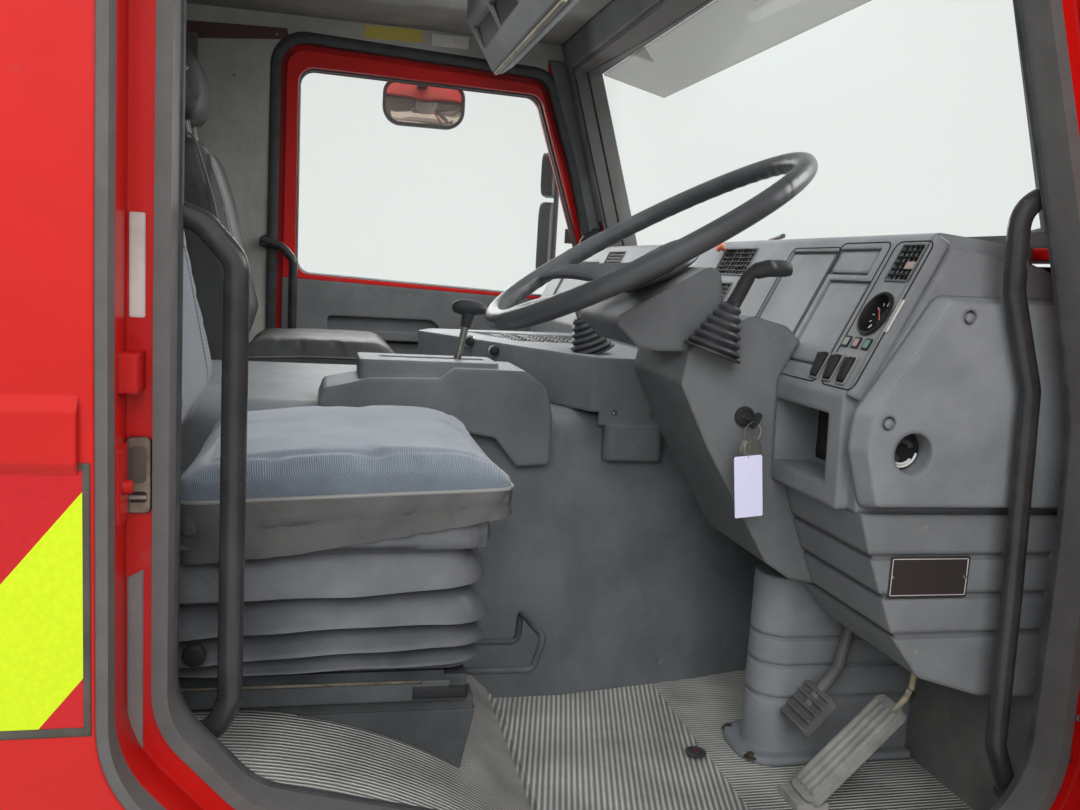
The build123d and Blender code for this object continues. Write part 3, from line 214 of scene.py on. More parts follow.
def ribbedMat():
    # moulded nitrile floor mat: low ribs, two directions either side of the steering column, painted shade in the
    # grooves
    material, tree, shader = startMaterial("ribbedNitrile", Roughness=0.6, IOR=1.5)
    place = objectPlace(tree)
    split = addNode(tree, "ShaderNodeSeparateXYZ", links={"Vector": place})
    along = addNode(tree, "ShaderNodeMapping", values={"Rotation": (0, 0, math.radians(14))},
                    links={"Vector": place})
    coarse = addNode(tree, "ShaderNodeTexWave", values={"Scale": 38.0, "Distortion": 0.0},
                     links={"Vector": along.outputs[0]}, bands_direction="X")
    fine = addNode(tree, "ShaderNodeTexWave", values={"Scale": 44.0, "Distortion": 0.0},
                   links={"Vector": place}, bands_direction="Y")
    side = addNode(tree, "ShaderNodeMath", values={1: 0.33}, links={0: split.outputs["X"]}, operation="GREATER_THAN")
    rear = addNode(tree, "ShaderNodeMath", values={1: 0.02}, links={0: split.outputs["X"]}, operation="LESS_THAN")
    which = addNode(tree, "ShaderNodeMath", links={0: side.outputs[0], 1: rear.outputs[0]}, operation="MAXIMUM")
    ribs = addNode(tree, "ShaderNodeMix", links={"Factor": which.outputs[0], "A": coarse.outputs["Color"],
                   "B": fine.outputs["Color"]}, data_type="RGBA")
    noise = addNode(tree, "ShaderNodeTexNoise", values={"Scale": 11.0, "Detail": 8.0}, links={"Vector": place})
    ramp = addNode(tree, "ShaderNodeValToRGB", links={"Fac": noise.outputs["Fac"]})
    setRamp(ramp, [(0.3, linearColour("#a5a5a1")), (0.7, linearColour("#cfcec8"))])
    # the rib pattern multiplied into the colour: painted shade in the grooves
    shade = addNode(tree, "ShaderNodeMix", values={"Factor": 0.68}, links={"A": ramp.outputs["Color"],
                    "B": ribs.outputs["Result"]}, data_type="RGBA", blend_type="MULTIPLY")
    tree.links.new(shade.outputs["Result"], shader.inputs["Base Color"])
    bump = addNode(tree, "ShaderNodeBump", values={"Strength": 0.9, "Distance": 0.0025},
                   links={"Height": ribs.outputs["Result"]})
    tree.links.new(bump.outputs["Normal"], shader.inputs["Normal"])
    return material


def knitFabric(name, dark, light, ribScale, direction="X"):
    # flat-knit seat cover: slanting ribs of coarse yarn, with a painted highlight on the rib tops and painted shade
    # between them
    material, tree, shader = startMaterial(name, Roughness=0.92, IOR=1.45, Sheen_Weight=0.35, Sheen_Roughness=0.5)
    place = objectPlace(tree)
    mapping = addNode(tree, "ShaderNodeMapping", values={"Rotation": (0.5, 0.35, 0.6)}, links={"Vector": place})
    waves = addNode(tree, "ShaderNodeTexWave", values={"Scale": ribScale, "Distortion": 1.0, "Detail": 2.0,
                    "Detail Scale": 4.0}, links={"Vector": mapping.outputs[0]}, bands_direction=direction)
    noise = addNode(tree, "ShaderNodeTexNoise", values={"Scale": 8.0, "Detail": 9.0, "Roughness": 0.65},
                    links={"Vector": place})
    ramp = addNode(tree, "ShaderNodeValToRGB", links={"Fac": noise.outputs["Fac"]})
    setRamp(ramp, [(0.3, linearColour(dark)), (0.7, linearColour(light))])
    # the rib bands multiplied into the colour: painted highlight on the rib tops, painted shade between them
    shade = addNode(tree, "ShaderNodeMix", values={"Factor": 0.38}, links={"A": ramp.outputs["Color"],
                    "B": waves.outputs["Color"]}, data_type="RGBA", blend_type="MULTIPLY")
    tree.links.new(shade.outputs["Result"], shader.inputs["Base Color"])
    bump = addNode(tree, "ShaderNodeBump", values={"Strength": 0.7, "Distance": 0.0012},
                   links={"Height": waves.outputs["Fac"]})
    tree.links.new(bump.outputs["Normal"], shader.inputs["Normal"])
    return material


def softVinyl(name, dark, light, roughness=0.46):
    # coated upholstery vinyl: fine grain, slack wrinkles, a low sheen
    material, tree, shader = startMaterial(name, Roughness=roughness, IOR=1.5)
    place, colour = mottle(tree, shader, dark, light, 7)
    folds = addNode(tree, "ShaderNodeTexNoise", values={"Scale": 16.0, "Detail": 3.0, "Distortion": 0.8},
                    links={"Vector": place})
    wrinkle = addNode(tree, "ShaderNodeBump", values={"Strength": 0.5, "Distance": 0.006},
                      links={"Height": folds.outputs["Fac"]})
    cells = addNode(tree, "ShaderNodeTexVoronoi", values={"Scale": 900.0}, links={"Vector": place})
    fine = addNode(tree, "ShaderNodeBump", values={"Strength": 0.35, "Distance": 0.0003},
                   links={"Height": cells.outputs["Distance"], "Normal": wrinkle.outputs["Normal"]})
    tree.links.new(fine.outputs["Normal"], shader.inputs["Normal"])
    return material


def quiltedVinyl():
    # padded vinyl over foam, dented at its buttons and slack between them
    material, tree, shader = startMaterial("quiltedVinyl", Roughness=0.6, IOR=1.5)
    place, colour = mottle(tree, shader, "#8d8d88", "#a3a29b", 4)
    folds = addNode(tree, "ShaderNodeTexNoise", values={"Scale": 7.0, "Detail": 4.0}, links={"Vector": place})
    wrinkle = addNode(tree, "ShaderNodeBump", values={"Strength": 0.6, "Distance": 0.02},
                      links={"Height": folds.outputs["Fac"]})
    tree.links.new(wrinkle.outputs["Normal"], shader.inputs["Normal"])
    return material


def brightMetal(name, colour, roughness):
    # zinc or chrome plate over steel
    material, tree, shader = startMaterial(name, Metallic=1.0, Roughness=roughness)
    mottle(tree, shader, colour[0], colour[1], 60)
    return material


def twoZone(name, inner, outer, axis, limit, roughness, away=False):
    # one moulding in two colours, split at a height or at a distance from the middle
    material, tree, shader = startMaterial(name, Roughness=roughness, IOR=1.49)
    split = addNode(tree, "ShaderNodeSeparateXYZ", links={"Vector": objectPlace(tree)})
    value = split.outputs[axis]
    if away:
        value = addNode(tree, "ShaderNodeMath", links={0: value}, operation="ABSOLUTE").outputs[0]
    above = addNode(tree, "ShaderNodeMath", values={1: limit}, links={0: value}, operation="GREATER_THAN")
    mix = addNode(tree, "ShaderNodeMix", values={"A": linearColour(inner), "B": linearColour(outer)},
                  links={"Factor": above.outputs[0]}, data_type="RGBA")
    tree.links.new(mix.outputs["Result"], shader.inputs["Base Color"])
    return material


def reflectiveSheet(name, dark, light):
    # prismatic retroreflective sheeting: a fine diamond lattice under a clear face
    material, tree, shader = startMaterial(name, Roughness=0.45, IOR=1.5, Coat_Weight=0.05, Coat_Roughness=0.2)
    place = objectPlace(tree)
    cells = addNode(tree, "ShaderNodeTexVoronoi", values={"Scale": 180.0}, links={"Vector": place})
    ramp = addNode(tree, "ShaderNodeValToRGB", links={"Fac": cells.outputs["Distance"]})
    setRamp(ramp, [(0.1, linearColour(light)), (0.8, linearColour(dark))])
    tree.links.new(ramp.outputs["Color"], shader.inputs["Base Color"])
    return material


slotMaterials = {
    "red_paint": enamelRed(),
    "chassis_black": pressedDark("chassisBlack", "#1f1f20", "#303030", 0.5),
    "floor_paint": pressedDark("floorPaint", "#616160", "#747370", 0.6),
    "quilted_lining": quiltedVinyl(),
    "roof_lining": mouldedPlastic("headlining", "#72726d", "#82827d", 0.8, 2.2, 0.0008),
    "ribbed_mat": ribbedMat(),
    "seal_rubber": rubberBlack("sealRubber", "#545352", "#5c5b5a"),
    "bellows_rubber": softVinyl("bellowsVinyl", "#4f5154", "#63656a", 0.3),
    "dark_plastic": mouldedPlastic("darkAbs", "#5c5e60", "#6a6c6d", 0.5, scuff="#84848a"),
    "dash_plastic": mouldedPlastic("dashAbs", "#6c6f71", "#7c7f81", 0.5, scuff="#94968f"),
    "grey_plastic": mouldedPlastic("coverAbs", "#5a5e61", "#6b6f71", 0.5, scuff="#85857f"),
    "black_plastic": mouldedPlastic("blackAbs", "#1f2022", "#2b2c2e", 0.38, 0.9, 0.0002),
    "worn_black": pressedDark("wornBlackPaint", "#262627", "#373636", 0.22, "#5d4038"),
    "steel": pressedDark("bareSteel", "#8f8d88", "#b0aea9", 0.35),
    "clear_glass": clearGlass("toughenedGlass", "#e8efec", 0.05),
    "smoked_acrylic": clearGlass("smokedAcrylic", "#6a685c", 0.5),
    "blue_lens": mouldedPlastic("blueLens", "#0c2fb0", "#1238c4", 0.12, 4.0, 0.0008),
    "lamp_lens": mouldedPlastic("lampLens", "#c9cdd0", "#d9dde0", 0.12, 8.0, 0.001),
    "seat_fabric": knitFabric("seatKnit", "#656f7b", "#818c97", 150.0),
    "charcoal_fabric": softVinyl("charcoalVinyl", "#2f3030", "#3d3e3e", 0.5),
    "seat_frame": pressedDark("seatFramePaint", "#3c3f41", "#4d5052", 0.42),
}
extra = {
    "sideVinyl": softVinyl("sideVinyl", "#494949", "#5b5b5a", 0.42),
    "piping": plainSurface("pipingVinyl", "#848582", 0.5),
    "chrome": brightMetal("chromePlate", ("#b8b8b6", "#d5d5d2"), 0.16),
    "zinc": brightMetal("zincPlate", ("#8c8b86", "#b3b2ac"), 0.42),
    "dullSteel": brightMetal("rubbedSteel", ("#7d7468", "#a39a8c"), 0.5),
    "mirror": brightMetal("mirrorGlass", ("#cdb6a6", "#d8c4b6"), 0.04),
    "flangeBlack": mouldedPlastic("rimAbs", "#26272a", "#323336", 0.35, 0.9, 0.0002),
    "reflectRed": reflectiveSheet("reflectRed", "#b40a14", "#bd0f1a"),
    "reflectYellow": reflectiveSheet("reflectYellow", "#c0d902", "#c8e006"),
    "edgeTape": pressedDark("edgeTape", "#3c3833", "#57514a", 0.6),
    "paleLabel": pressedDark("paleLabel", "#6c6d6b", "#7d7d7a", 0.6),
    "yellowLabel": plainSurface("yellowLabel", "#b3a34e", 0.6),
    "whiteLabel": pressedDark("whiteLabel", "#b3b0ab", "#cfccc6", 0.55),
    "darkPlate": plainSurface("darkPlate", "#34302f", 0.4),
    "lilacTag": plainSurface("lilacTag", "#d8d6f0", 0.7),
    "orangeKnob": plainSurface("orangeKnob", "#b8674a", 0.5),
    "gaugeGlass": plainSurface("gaugeGlass", "#16181b", 0.06, Coat_Weight=1.0),
    "squareGrey": plainSurface("squareGrey", "#7e7f7a", 0.4),
    "squarePink": plainSurface("squarePink", "#8e7a74", 0.4),
    "squareGreen": plainSurface("squareGreen", "#5f7a70", 0.4),
    "webbing": knitFabric("beltWebbing", "#5c5850", "#6f6a61", 160.0, "Z"),
    "creamRod": plainSurface("creamRod", "#a89f80", 0.5),
    "wornPad": pressedDark("wornPedalRubber", "#7f7f7b", "#a9a8a2", 0.55),
    "brakeRubber": pressedDark("brakePedalRubber", "#4c4d4c", "#6c6d69", 0.5),
    # a lighter copy of the grey cover plastic: painted light, lifting the dash's end covers and the column boot out of
    # their shade
    "endAbs": mouldedPlastic("endAbs", "#74787b", "#868a8d", 0.5, scuff="#94948e"),
    "backKnit": knitFabric("backKnit", "#3b434b", "#4f5860", 150.0),
    "rimVinyl": softVinyl("rimVinyl", "#343638", "#424446", 0.3),
    "beigeLip": pressedDark("beigeLip", "#7d7768", "#9b9482", 0.5),
    "maroon": plainSurface("maroonStrip", "#4a3330", 0.6),
    "gaiter": rubberBlack("gaiterRubber", "#2c2d2f", "#3e3f41", 0.45),
    "deepBlack": plainSurface("deepBlack", "#121213", 0.5),
    "paleCable": plainSurface("paleCable", "#cfcfca", 0.5),
    "brassTag": brightMetal("keyNickel", ("#b5b2a6", "#d6d3c8"), 0.28),
    "amberLens": mouldedPlastic("amberLens", "#c56a12", "#d97c1a", 0.15, 5.0, 0.0006),
}

extra["beaconPair"] = twoZone("beaconPolycarbonate", "#2a2b2d", "#0d30b6", "Z", 1.6735, 0.15)
extra["lampPair"] = twoZone("lampHousingAbs", "#1e1f21", "#d9650a", "Y", 0.745 + 0.082, 0.25, True)
extra["lampLens"] = plainSurface("lampLens", "#b3b8bb", 0.12)
# the dash's end covers and the column boot take the lighter copy of the cover plastic, which is painted light
ownMaterial = {"beacon_bar": extra["beaconPair"], "headlamps": extra["lampPair"],
               "accelerator_pedal": extra["wornPad"], "brake_pedal": extra["brakeRubber"], "dash_end_covers": extra["endAbs"],
               "column_boot": extra["endAbs"]}
for name, node in nodes.items():
    node.data.materials.clear()
    node.data.materials.append(ownMaterial.get(name, slotMaterials[slotOfNode[name]]))
print("materials on the frame")


# shapes
def mm(x, y, z):
    return Vector((x, y, z)) / 1000


def between(a, b, t):
    return a + (b - a) * t


def along(rows, at):
    # value at a place in rows of place, value, with straight runs between
    if at <= rows[0][0]:
        return rows[0][1]
    for (a, low), (b, high) in zip(rows, rows[1:]):
        if at <= b:
            return between(low, high, (at - a) / (b - a))
    return rows[-1][1]


def placeAt(origin, across, up):
    # matrix whose x and y axes are across and up
    across = Vector(across).normalized()
    normal = across.cross(Vector(up)).normalized()
    up = normal.cross(across)
    return Matrix.Translation(Vector(origin)) @ Matrix((across, up, normal)).transposed().to_4x4()


def roundedLoop(rows, steps=5):
    # closed outline from rows of first coordinate, second coordinate, corner radius
    loop = []
    for i, (u, v, r) in enumerate(rows):
        corner = Vector((u, v))
        if r <= 0:
            loop.append(corner)
            continue
        before = Vector(rows[i - 1][:2]) - corner
        after = Vector(rows[(i + 1) % len(rows)][:2]) - corner
        half = before.angle(after) / 2
        reach = min(r / math.tan(half), before.length * 0.49, after.length * 0.49)
        radius = reach * math.tan(half)
        centre = corner + (before.normalized() + after.normalized()).normalized() * (radius / math.sin(half))
        start = corner + before.normalized() * reach - centre
        turn = math.pi - 2 * half
        sign = 1 if before.cross(after) < 0 else -1
        for k in range(steps + 1):
            angle = sign * turn * k / steps
            c, s = math.cos(angle), math.sin(angle)
            loop.append(centre + Vector((start.x * c - start.y * s, start.x * s + start.y * c)))
    return loop


def rectangle(width, height, radius, steps=5, u=0.0, v=0.0):
    w, h = width / 2, height / 2
    return roundedLoop([(u - w, v - h, radius), (u + w, v - h, radius), (u + w, v + h, radius),
                        (u - w, v + h, radius)], steps)


def inset(loop, amount):
    area = sum(a.cross(b) for a, b in zip(loop, loop[1:] + loop[:1]))
    sign = 1 if area > 0 else -1
    moved = []
    for i, point in enumerate(loop):
        before = (point - loop[i - 1]).normalized()
        after = (loop[(i + 1) % len(loop)] - point).normalized()
        bisector = (Vector((-before.y, before.x)) + Vector((-after.y, after.x))).normalized()
        stretch = max(0.5, bisector.dot(Vector((-before.y, before.x))))
        moved.append(point + bisector * (sign * amount / stretch))
    return moved


def roundPath(points, bend, steps=6):
    # open path with its corners turned into arcs
    path = [Vector(points[0])]
    for before, corner, after in zip(points, points[1:], points[2:]):
        corner = Vector(corner)
        a = Vector(before) - corner
        b = Vector(after) - corner
        half = a.angle(b) / 2
        reach = min(bend / math.tan(half), a.length * 0.45, b.length * 0.45)
        for k in range(steps + 1):
            t = k / steps
            path.append(corner + a.normalized() * reach * (1 - t) ** 2 + b.normalized() * reach * t ** 2)
    path.append(Vector(points[-1]))
    return path


class Form:
    def __init__(self):
        self.points = []
        self.faces = []
        self.marks = []

    def add(self, points, faces, mark=0, matrix=None):
        first = len(self.points)
        self.points += [matrix @ Vector(p) if matrix else Vector(p) for p in points]
        self.faces += [tuple(first + i for i in face) for face in faces]
        self.marks += [mark] * len(faces)
        return self

    def rings(self, rings, mark=0, matrix=None, loop=False):
        count = len(rings[0])
        faces = []
        for i in range(len(rings) if loop else len(rings) - 1):
            a = i * count
            b = (i + 1) % len(rings) * count
            for j in range(count):
                k = (j + 1) % count
                faces.append((a + j, a + k, b + k, b + j))
        if not loop:
            faces.append(tuple(reversed(range(count))))
            faces.append(tuple(range((len(rings) - 1) * count, len(rings) * count)))
        return self.add([p for ring in rings for p in ring], faces, mark, matrix)

    def plate(self, loop, low, high, bevel=0.0, mark=0, matrix=None):
        levels = [(low, bevel), (low + bevel, 0), (high - bevel, 0), (high, bevel)] if bevel else [(low, 0), (high, 0)]
        rings = [[(p.x, p.y, z) for p in (inset(loop, amount) if amount else loop)] for z, amount in levels]
        return self.rings(rings, mark, matrix)

    def tube(self, path, radius, sides=16, mark=0, matrix=None, loop=False, flat=1.0):
        path = [Vector(p) for p in path]
        count = len(path)
        rings = []
        normal = None
        for i, point in enumerate(path):
            ahead = path[(i + 1) % count] if loop or i < count - 1 else point
            behind = path[i - 1] if loop or i > 0 else point
            tangent = (ahead - behind).normalized()
            if normal is None:
                normal = tangent.orthogonal().normalized()
            normal = (normal - tangent * normal.dot(tangent)).normalized()
            other = tangent.cross(normal)
            r = radius(i / (count - 1)) if callable(radius) else radius
            rings.append([point + normal * (r * math.cos(a)) + other * (r * flat * math.sin(a))
                          for a in (2 * math.pi * k / sides for k in range(sides))])
        return self.rings(rings, mark, matrix, loop)

    def lathe(self, rows, sides=32, mark=0, matrix=None):
        # rows of radius, height
        rings = [[(r * math.cos(a), r * math.sin(a), z) for a in (2 * math.pi * k / sides for k in range(sides))]
                 for r, z in rows]
        return self.rings(rings, mark, matrix)

    def finish(self, name, materials, body="cab", slot=None, replaces=(), smooth=35):
        mesh = bpy.data.meshes.new(name)
        mesh.from_pydata(self.points, [], self.faces)
        for polygon, mark in zip(mesh.polygons, self.marks):
            polygon.material_index = mark
        tidyMesh(mesh, smooth)
        for material in materials:
            mesh.materials.append(material)
        return placePiece(name, mesh, body, replaces)


def tidyMesh(mesh, smooth):
    shape = bmesh.new()
    shape.from_mesh(mesh)
    bmesh.ops.remove_doubles(shape, verts=shape.verts, dist=1e-6)
    bmesh.ops.recalc_face_normals(shape, faces=shape.faces)
    shape.to_mesh(mesh)
    shape.free()
    for polygon in mesh.polygons:
        polygon.use_smooth = True
    mesh.set_sharp_from_angle(angle=math.radians(smooth))


def placePiece(name, mesh, body, replaces=()):
    piece = bpy.data.objects.new(name, mesh)
    scene.collection.objects.link(piece)
    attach(piece, body)
    if replaces:
        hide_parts(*replaces)
    return piece


# repeats by Geometry Nodes: one item on every point, aimed by the point's own vector
def repeatGroup():
    group = bpy.data.node_groups.new("itemOnPoints", "GeometryNodeTree")
    sockets = {}
    for label, kind in (("Points", "Geometry"), ("Item", "Object"), ("Size", "Float"), ("Turn jitter", "Float"),
                        ("Seed", "Int"), ("Material", "Material")):
        sockets[label] = group.interface.new_socket(label, in_out="INPUT", socket_type="NodeSocket" + kind)
    group.interface.new_socket("Geometry", in_out="OUTPUT", socket_type="NodeSocketGeometry")
    given = addNode(group, "NodeGroupInput")
    item = addNode(group, "GeometryNodeObjectInfo", links={"Object": given.outputs["Item"]})
    aim = addNode(group, "GeometryNodeInputNamedAttribute", values={"Name": "aim"}, data_type="FLOAT_VECTOR")
    turn = addNode(group, "FunctionNodeAlignRotationToVector", links={"Vector": aim.outputs["Attribute"]}, axis="Z")
    spin = addNode(group, "FunctionNodeRandomValue", values={"Min": 0.0}, data_type="FLOAT")
    group.links.new(given.outputs["Turn jitter"], [s for s in spin.inputs if s.name == "Max" and s.enabled][0])
    group.links.new(given.outputs["Seed"], spin.inputs["Seed"])
    value = [s for s in spin.outputs if s.enabled][0]
    around = addNode(group, "FunctionNodeAxisAngleToRotation", values={"Axis": (0, 0, 1)}, links={"Angle": value})
    both = addNode(group, "FunctionNodeRotateRotation", links={"Rotation": turn.outputs[0],
                   "Rotate By": around.outputs[0]}, rotation_space="LOCAL")
    copies = addNode(group, "GeometryNodeInstanceOnPoints", links={"Points": given.outputs["Points"],
                     "Instance": item.outputs["Geometry"], "Rotation": both.outputs[0],
                     "Scale": given.outputs["Size"]})
    real = addNode(group, "GeometryNodeRealizeInstances", links={"Geometry": copies.outputs[0]})
    painted = addNode(group, "GeometryNodeSetMaterial", links={"Geometry": real.outputs[0],
                      "Material": given.outputs["Material"]})
    addNode(group, "NodeGroupOutput", links={"Geometry": painted.outputs[0]})
    return group, {label: socket.identifier for label, socket in sockets.items()}


repeats, repeatInputs = repeatGroup()


def repeatItem(name, item, rows, material, body="cab", size=1.0, jitter=0.0, seed=7, replaces=()):
    # rows of place, aim; item is a Form drawn at the origin with its head towards +Z
    source = bpy.data.meshes.new(name + ".item")
    source.from_pydata(item.points, [], item.faces)
    tidyMesh(source, 35)
    model = bpy.data.objects.new(name + ".item", source)
    scene.collection.objects.link(model)
    seeds = bpy.data.meshes.new(name + ".points")
    seeds.from_pydata([place for place, aim in rows], [], [])
    attribute = seeds.attributes.new("aim", "FLOAT_VECTOR", "POINT")
    for i, (place, aim) in enumerate(rows):
        attribute.data[i].vector = aim
    carrier = bpy.data.objects.new(name + ".points", seeds)
    scene.collection.objects.link(carrier)
    modifier = carrier.modifiers.new("items", "NODES")
    modifier.node_group = repeats
    for label, value in (("Item", model), ("Size", size), ("Turn jitter", jitter), ("Seed", seed),
                         ("Material", material)):
        modifier[repeatInputs[label]] = value
    graph = bpy.context.evaluated_depsgraph_get()
    mesh = bpy.data.meshes.new_from_object(carrier.evaluated_get(graph))
    mesh.name = name
    carrier.modifiers.remove(modifier)
    bpy.data.objects.remove(carrier)
    bpy.data.objects.remove(model)
    bpy.data.meshes.remove(seeds)
    for leftover in [a.name for a in mesh.attributes if a.name == "aim"]:
        mesh.attributes.remove(mesh.attributes[leftover])
    return placePiece(name, mesh, body, replaces)


# padded pieces: a closed form, remeshed, swollen by cloth under pressure, its travel capped
puffing = {
    "voxel": 0.006,
    "pressure": 4.0,
    "cap": 0.012,
    "frames": 20,
}


def puff(name, rings, body, slot, replaces=(), settings=puffing):
    form = Form().rings(rings)
    mesh = bpy.data.meshes.new(name)
    mesh.from_pydata(form.points, [], form.faces)
    tidyMesh(mesh, 180)
    piece = bpy.data.objects.new(name, mesh)
    scene.collection.objects.link(piece)
    remesh = piece.modifiers.new("remesh", "REMESH")
    remesh.mode = "VOXEL"
    remesh.voxel_size = settings["voxel"]
    takeShape(piece)
    before = [v.co.copy() for v in piece.data.vertices]
    cloth = piece.modifiers.new("swell", "CLOTH")
    cloth.settings.use_pressure = True
    cloth.settings.uniform_pressure_force = settings["pressure"]
    cloth.settings.effector_weights.gravity = 0
    for step in range(1, settings["frames"] + 1):
        scene.frame_set(step)
    takeShape(piece)
    scene.frame_set(1)
    for vertex, start in zip(piece.data.vertices, before):
        travel = vertex.co - start
        if travel.length > settings["cap"]:
            vertex.co = start + travel * (settings["cap"] / travel.length)
    for polygon in piece.data.polygons:
        polygon.use_smooth = True
    finer = piece.modifiers.new("finer", "SUBSURF")
    finer.levels = 1
    finer.render_levels = 1
    takeShape(piece)
    piece.data.materials.clear()
    piece.data.materials.append(slotMaterials[slot])
    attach(piece, body)
    if replaces:
        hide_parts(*replaces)
    return piece


def takeShape(piece):
    graph = bpy.context.evaluated_depsgraph_get()
    mesh = bpy.data.meshes.new_from_object(piece.evaluated_get(graph))
    piece.modifiers.clear()
    old = piece.data
    piece.data = mesh
    bpy.data.meshes.remove(old)
    mesh.name = piece.name


def mound(loopRows, levels, steps=6):
    # rings of one outline: rows of inset, then a height function of x
    base = roundedLoop(loopRows, steps)
    dense = spaced(base, 72)
    rings = []
    for amount, height in levels:
        ring = inset(dense, amount) if amount else dense
        rings.append([(p.x, p.y, height(p.x)) for p in ring])
    return rings


def spaced(loop, count):
    # the same closed outline with points evenly spaced
    lengths = [(b - a).length for a, b in zip(loop, loop[1:] + loop[:1])]
    total = sum(lengths)
    points = []
    i = 0
    walked = 0.0
    for k in range(count):
        target = total * k / count
        while walked + lengths[i] < target:
            walked += lengths[i]
            i += 1
        a = loop[i]
        b = loop[(i + 1) % len(loop)]
        points.append(a + (b - a) * ((target - walked) / lengths[i]))
    return points


# places on the cab
side = {
    "half": 1.110,
    "lining": 1.000,
    "leanFrom": 0.840,
    "lean": 0.035,
    "hinge": (0.636, 1.114),
    "open": 85,
}
openingRows = [(-0.400, 1.485, 0.070), (0.369, 1.452, 0.060), (0.461, 1.194, 0.3), (0.541, 0.916, 0.3),
               (0.585, 0.745, 0.3), (0.592, 0.600, 0.3), (0.592, 0.222, 0.140), (0.090, 0.205, 0.150),
               (-0.120, 0.300, 0.150), (-0.320, 0.350, 0.080), (-0.400, 0.440, 0.080)]
windowRows = [(-0.349, 1.420, 0.045), (0.357, 1.407, 0.045), (0.570, 0.797, 0.045), (-0.346, 0.834, 0.045)]
openDoor = (Matrix.Translation((side["hinge"][0], -side["hinge"][1], 0)) @ Matrix.Rotation(math.radians(side["open"]), 4, "Z")
            @ Matrix.Translation((-side["hinge"][0], side["hinge"][1], 0)))
wheel = {
    "centre": (0.175, -0.621, 0.933),
    "rake": 30.8,
    "radius": 0.2386,
    "rim": 0.0142,
    "hub": 0.062,
    "spokes": (118, 180, 242),
    "scallops": 56,
}


def sideY(sign, depth, z):
    return sign * (depth - side["lean"] * max(0.0, z - side["leanFrom"]))


def cast(nodeNames, start, aim):
    # first point of the named CAD pieces along a line, with its normal
    best = None
    for name in nodeNames:
        if name not in surfaces:
            mesh = nodes[name].data
            surfaces[name] = BVHTree.FromPolygons([nodes[name].matrix_world @ v.co for v in mesh.vertices],
                                                  [tuple(p.vertices) for p in mesh.polygons])
        hit, normal, index, far = surfaces[name].ray_cast(Vector(start), Vector(aim).normalized())
        if hit and (best is None or far < best[2]):
            best = (hit, normal, far)
    return best


surfaces = {}


# seats
def smoothStep(t):
    t = max(0.0, min(1.0, t))
    return t * t * (3 - 2 * t)


def boxGap(x, y, low, high, corner):
    # signed distance from a rounded rectangle seen from above
    cx, cy = (low[0] + high[0]) / 2, (low[1] + high[1]) / 2
    dx = abs(x - cx) - (high[0] - low[0]) / 2 + corner
    dy = abs(y - cy) - (high[1] - low[1]) / 2 + corner
    return math.hypot(max(dx, 0), max(dy, 0)) + min(max(dx, dy), 0) - corner


def backRings(profile, low, high, edge):
    base = spaced(roundedLoop(profile, 6), 96)
    rows = [(0.0, 1.0), (0.006, 0.55), (0.018, 0.22), (0.04, 0.04), (0.075, 0.0)]
    stations = [(low + depth, share) for depth, share in rows] + [(high - depth, share) for depth, share in reversed(rows)]
    return [[(p.x, y, p.y) for p in (inset(base, edge * share) if share else base)] for y, share in stations]


def pipingPath(piece, loop, height, centre):
    tree = BVHTree.FromPolygons([v.co for v in piece.data.vertices], [tuple(p.vertices) for p in piece.data.polygons])
    path = []
    for p in loop:
        point = Vector((p.x, p.y, height(p.x)))
        away = Vector((p.x - centre[0], p.y - centre[1], 0)).normalized()
        hit = tree.ray_cast(point + away * 0.06, -away)[0]
        path.append((hit or point) + away * 0.0012)
    return path


def paintFaces(piece, material, test):
    piece.data.materials.append(material)
    index = len(piece.data.materials) - 1
    for polygon in piece.data.polygons:
        if test(polygon.center):
            polygon.material_index = index


driverSeat = {
    "low": (-0.438, -0.857),
    "high": (-0.0250, -0.403),
    "corner": 0.022,
    "piping": [(-0.44, 0.602), (-0.04, 0.621)],
    "underside": [(-0.44, 0.553), (-0.07, 0.590), (-0.04, 0.594)],
    "crown": [(-0.44, 0.632), (-0.24, 0.652), (-0.10, 0.652), (-0.03, 0.636)],
    "seamIn": 0.048,
    "skirt": [(-0.44, 0.5300), (-0.30, 0.5420), (-0.10, 0.5740), (-0.04, 0.5860)],
    "swell": [(0.004, 0.42), (0.008, 0.60), (0.015, 0.73), (0.027, 0.83), (0.045, 0.905), (0.070, 0.952), (0.100, 0.980),
              (0.135, 0.995), (0.17, 1.0)],
}


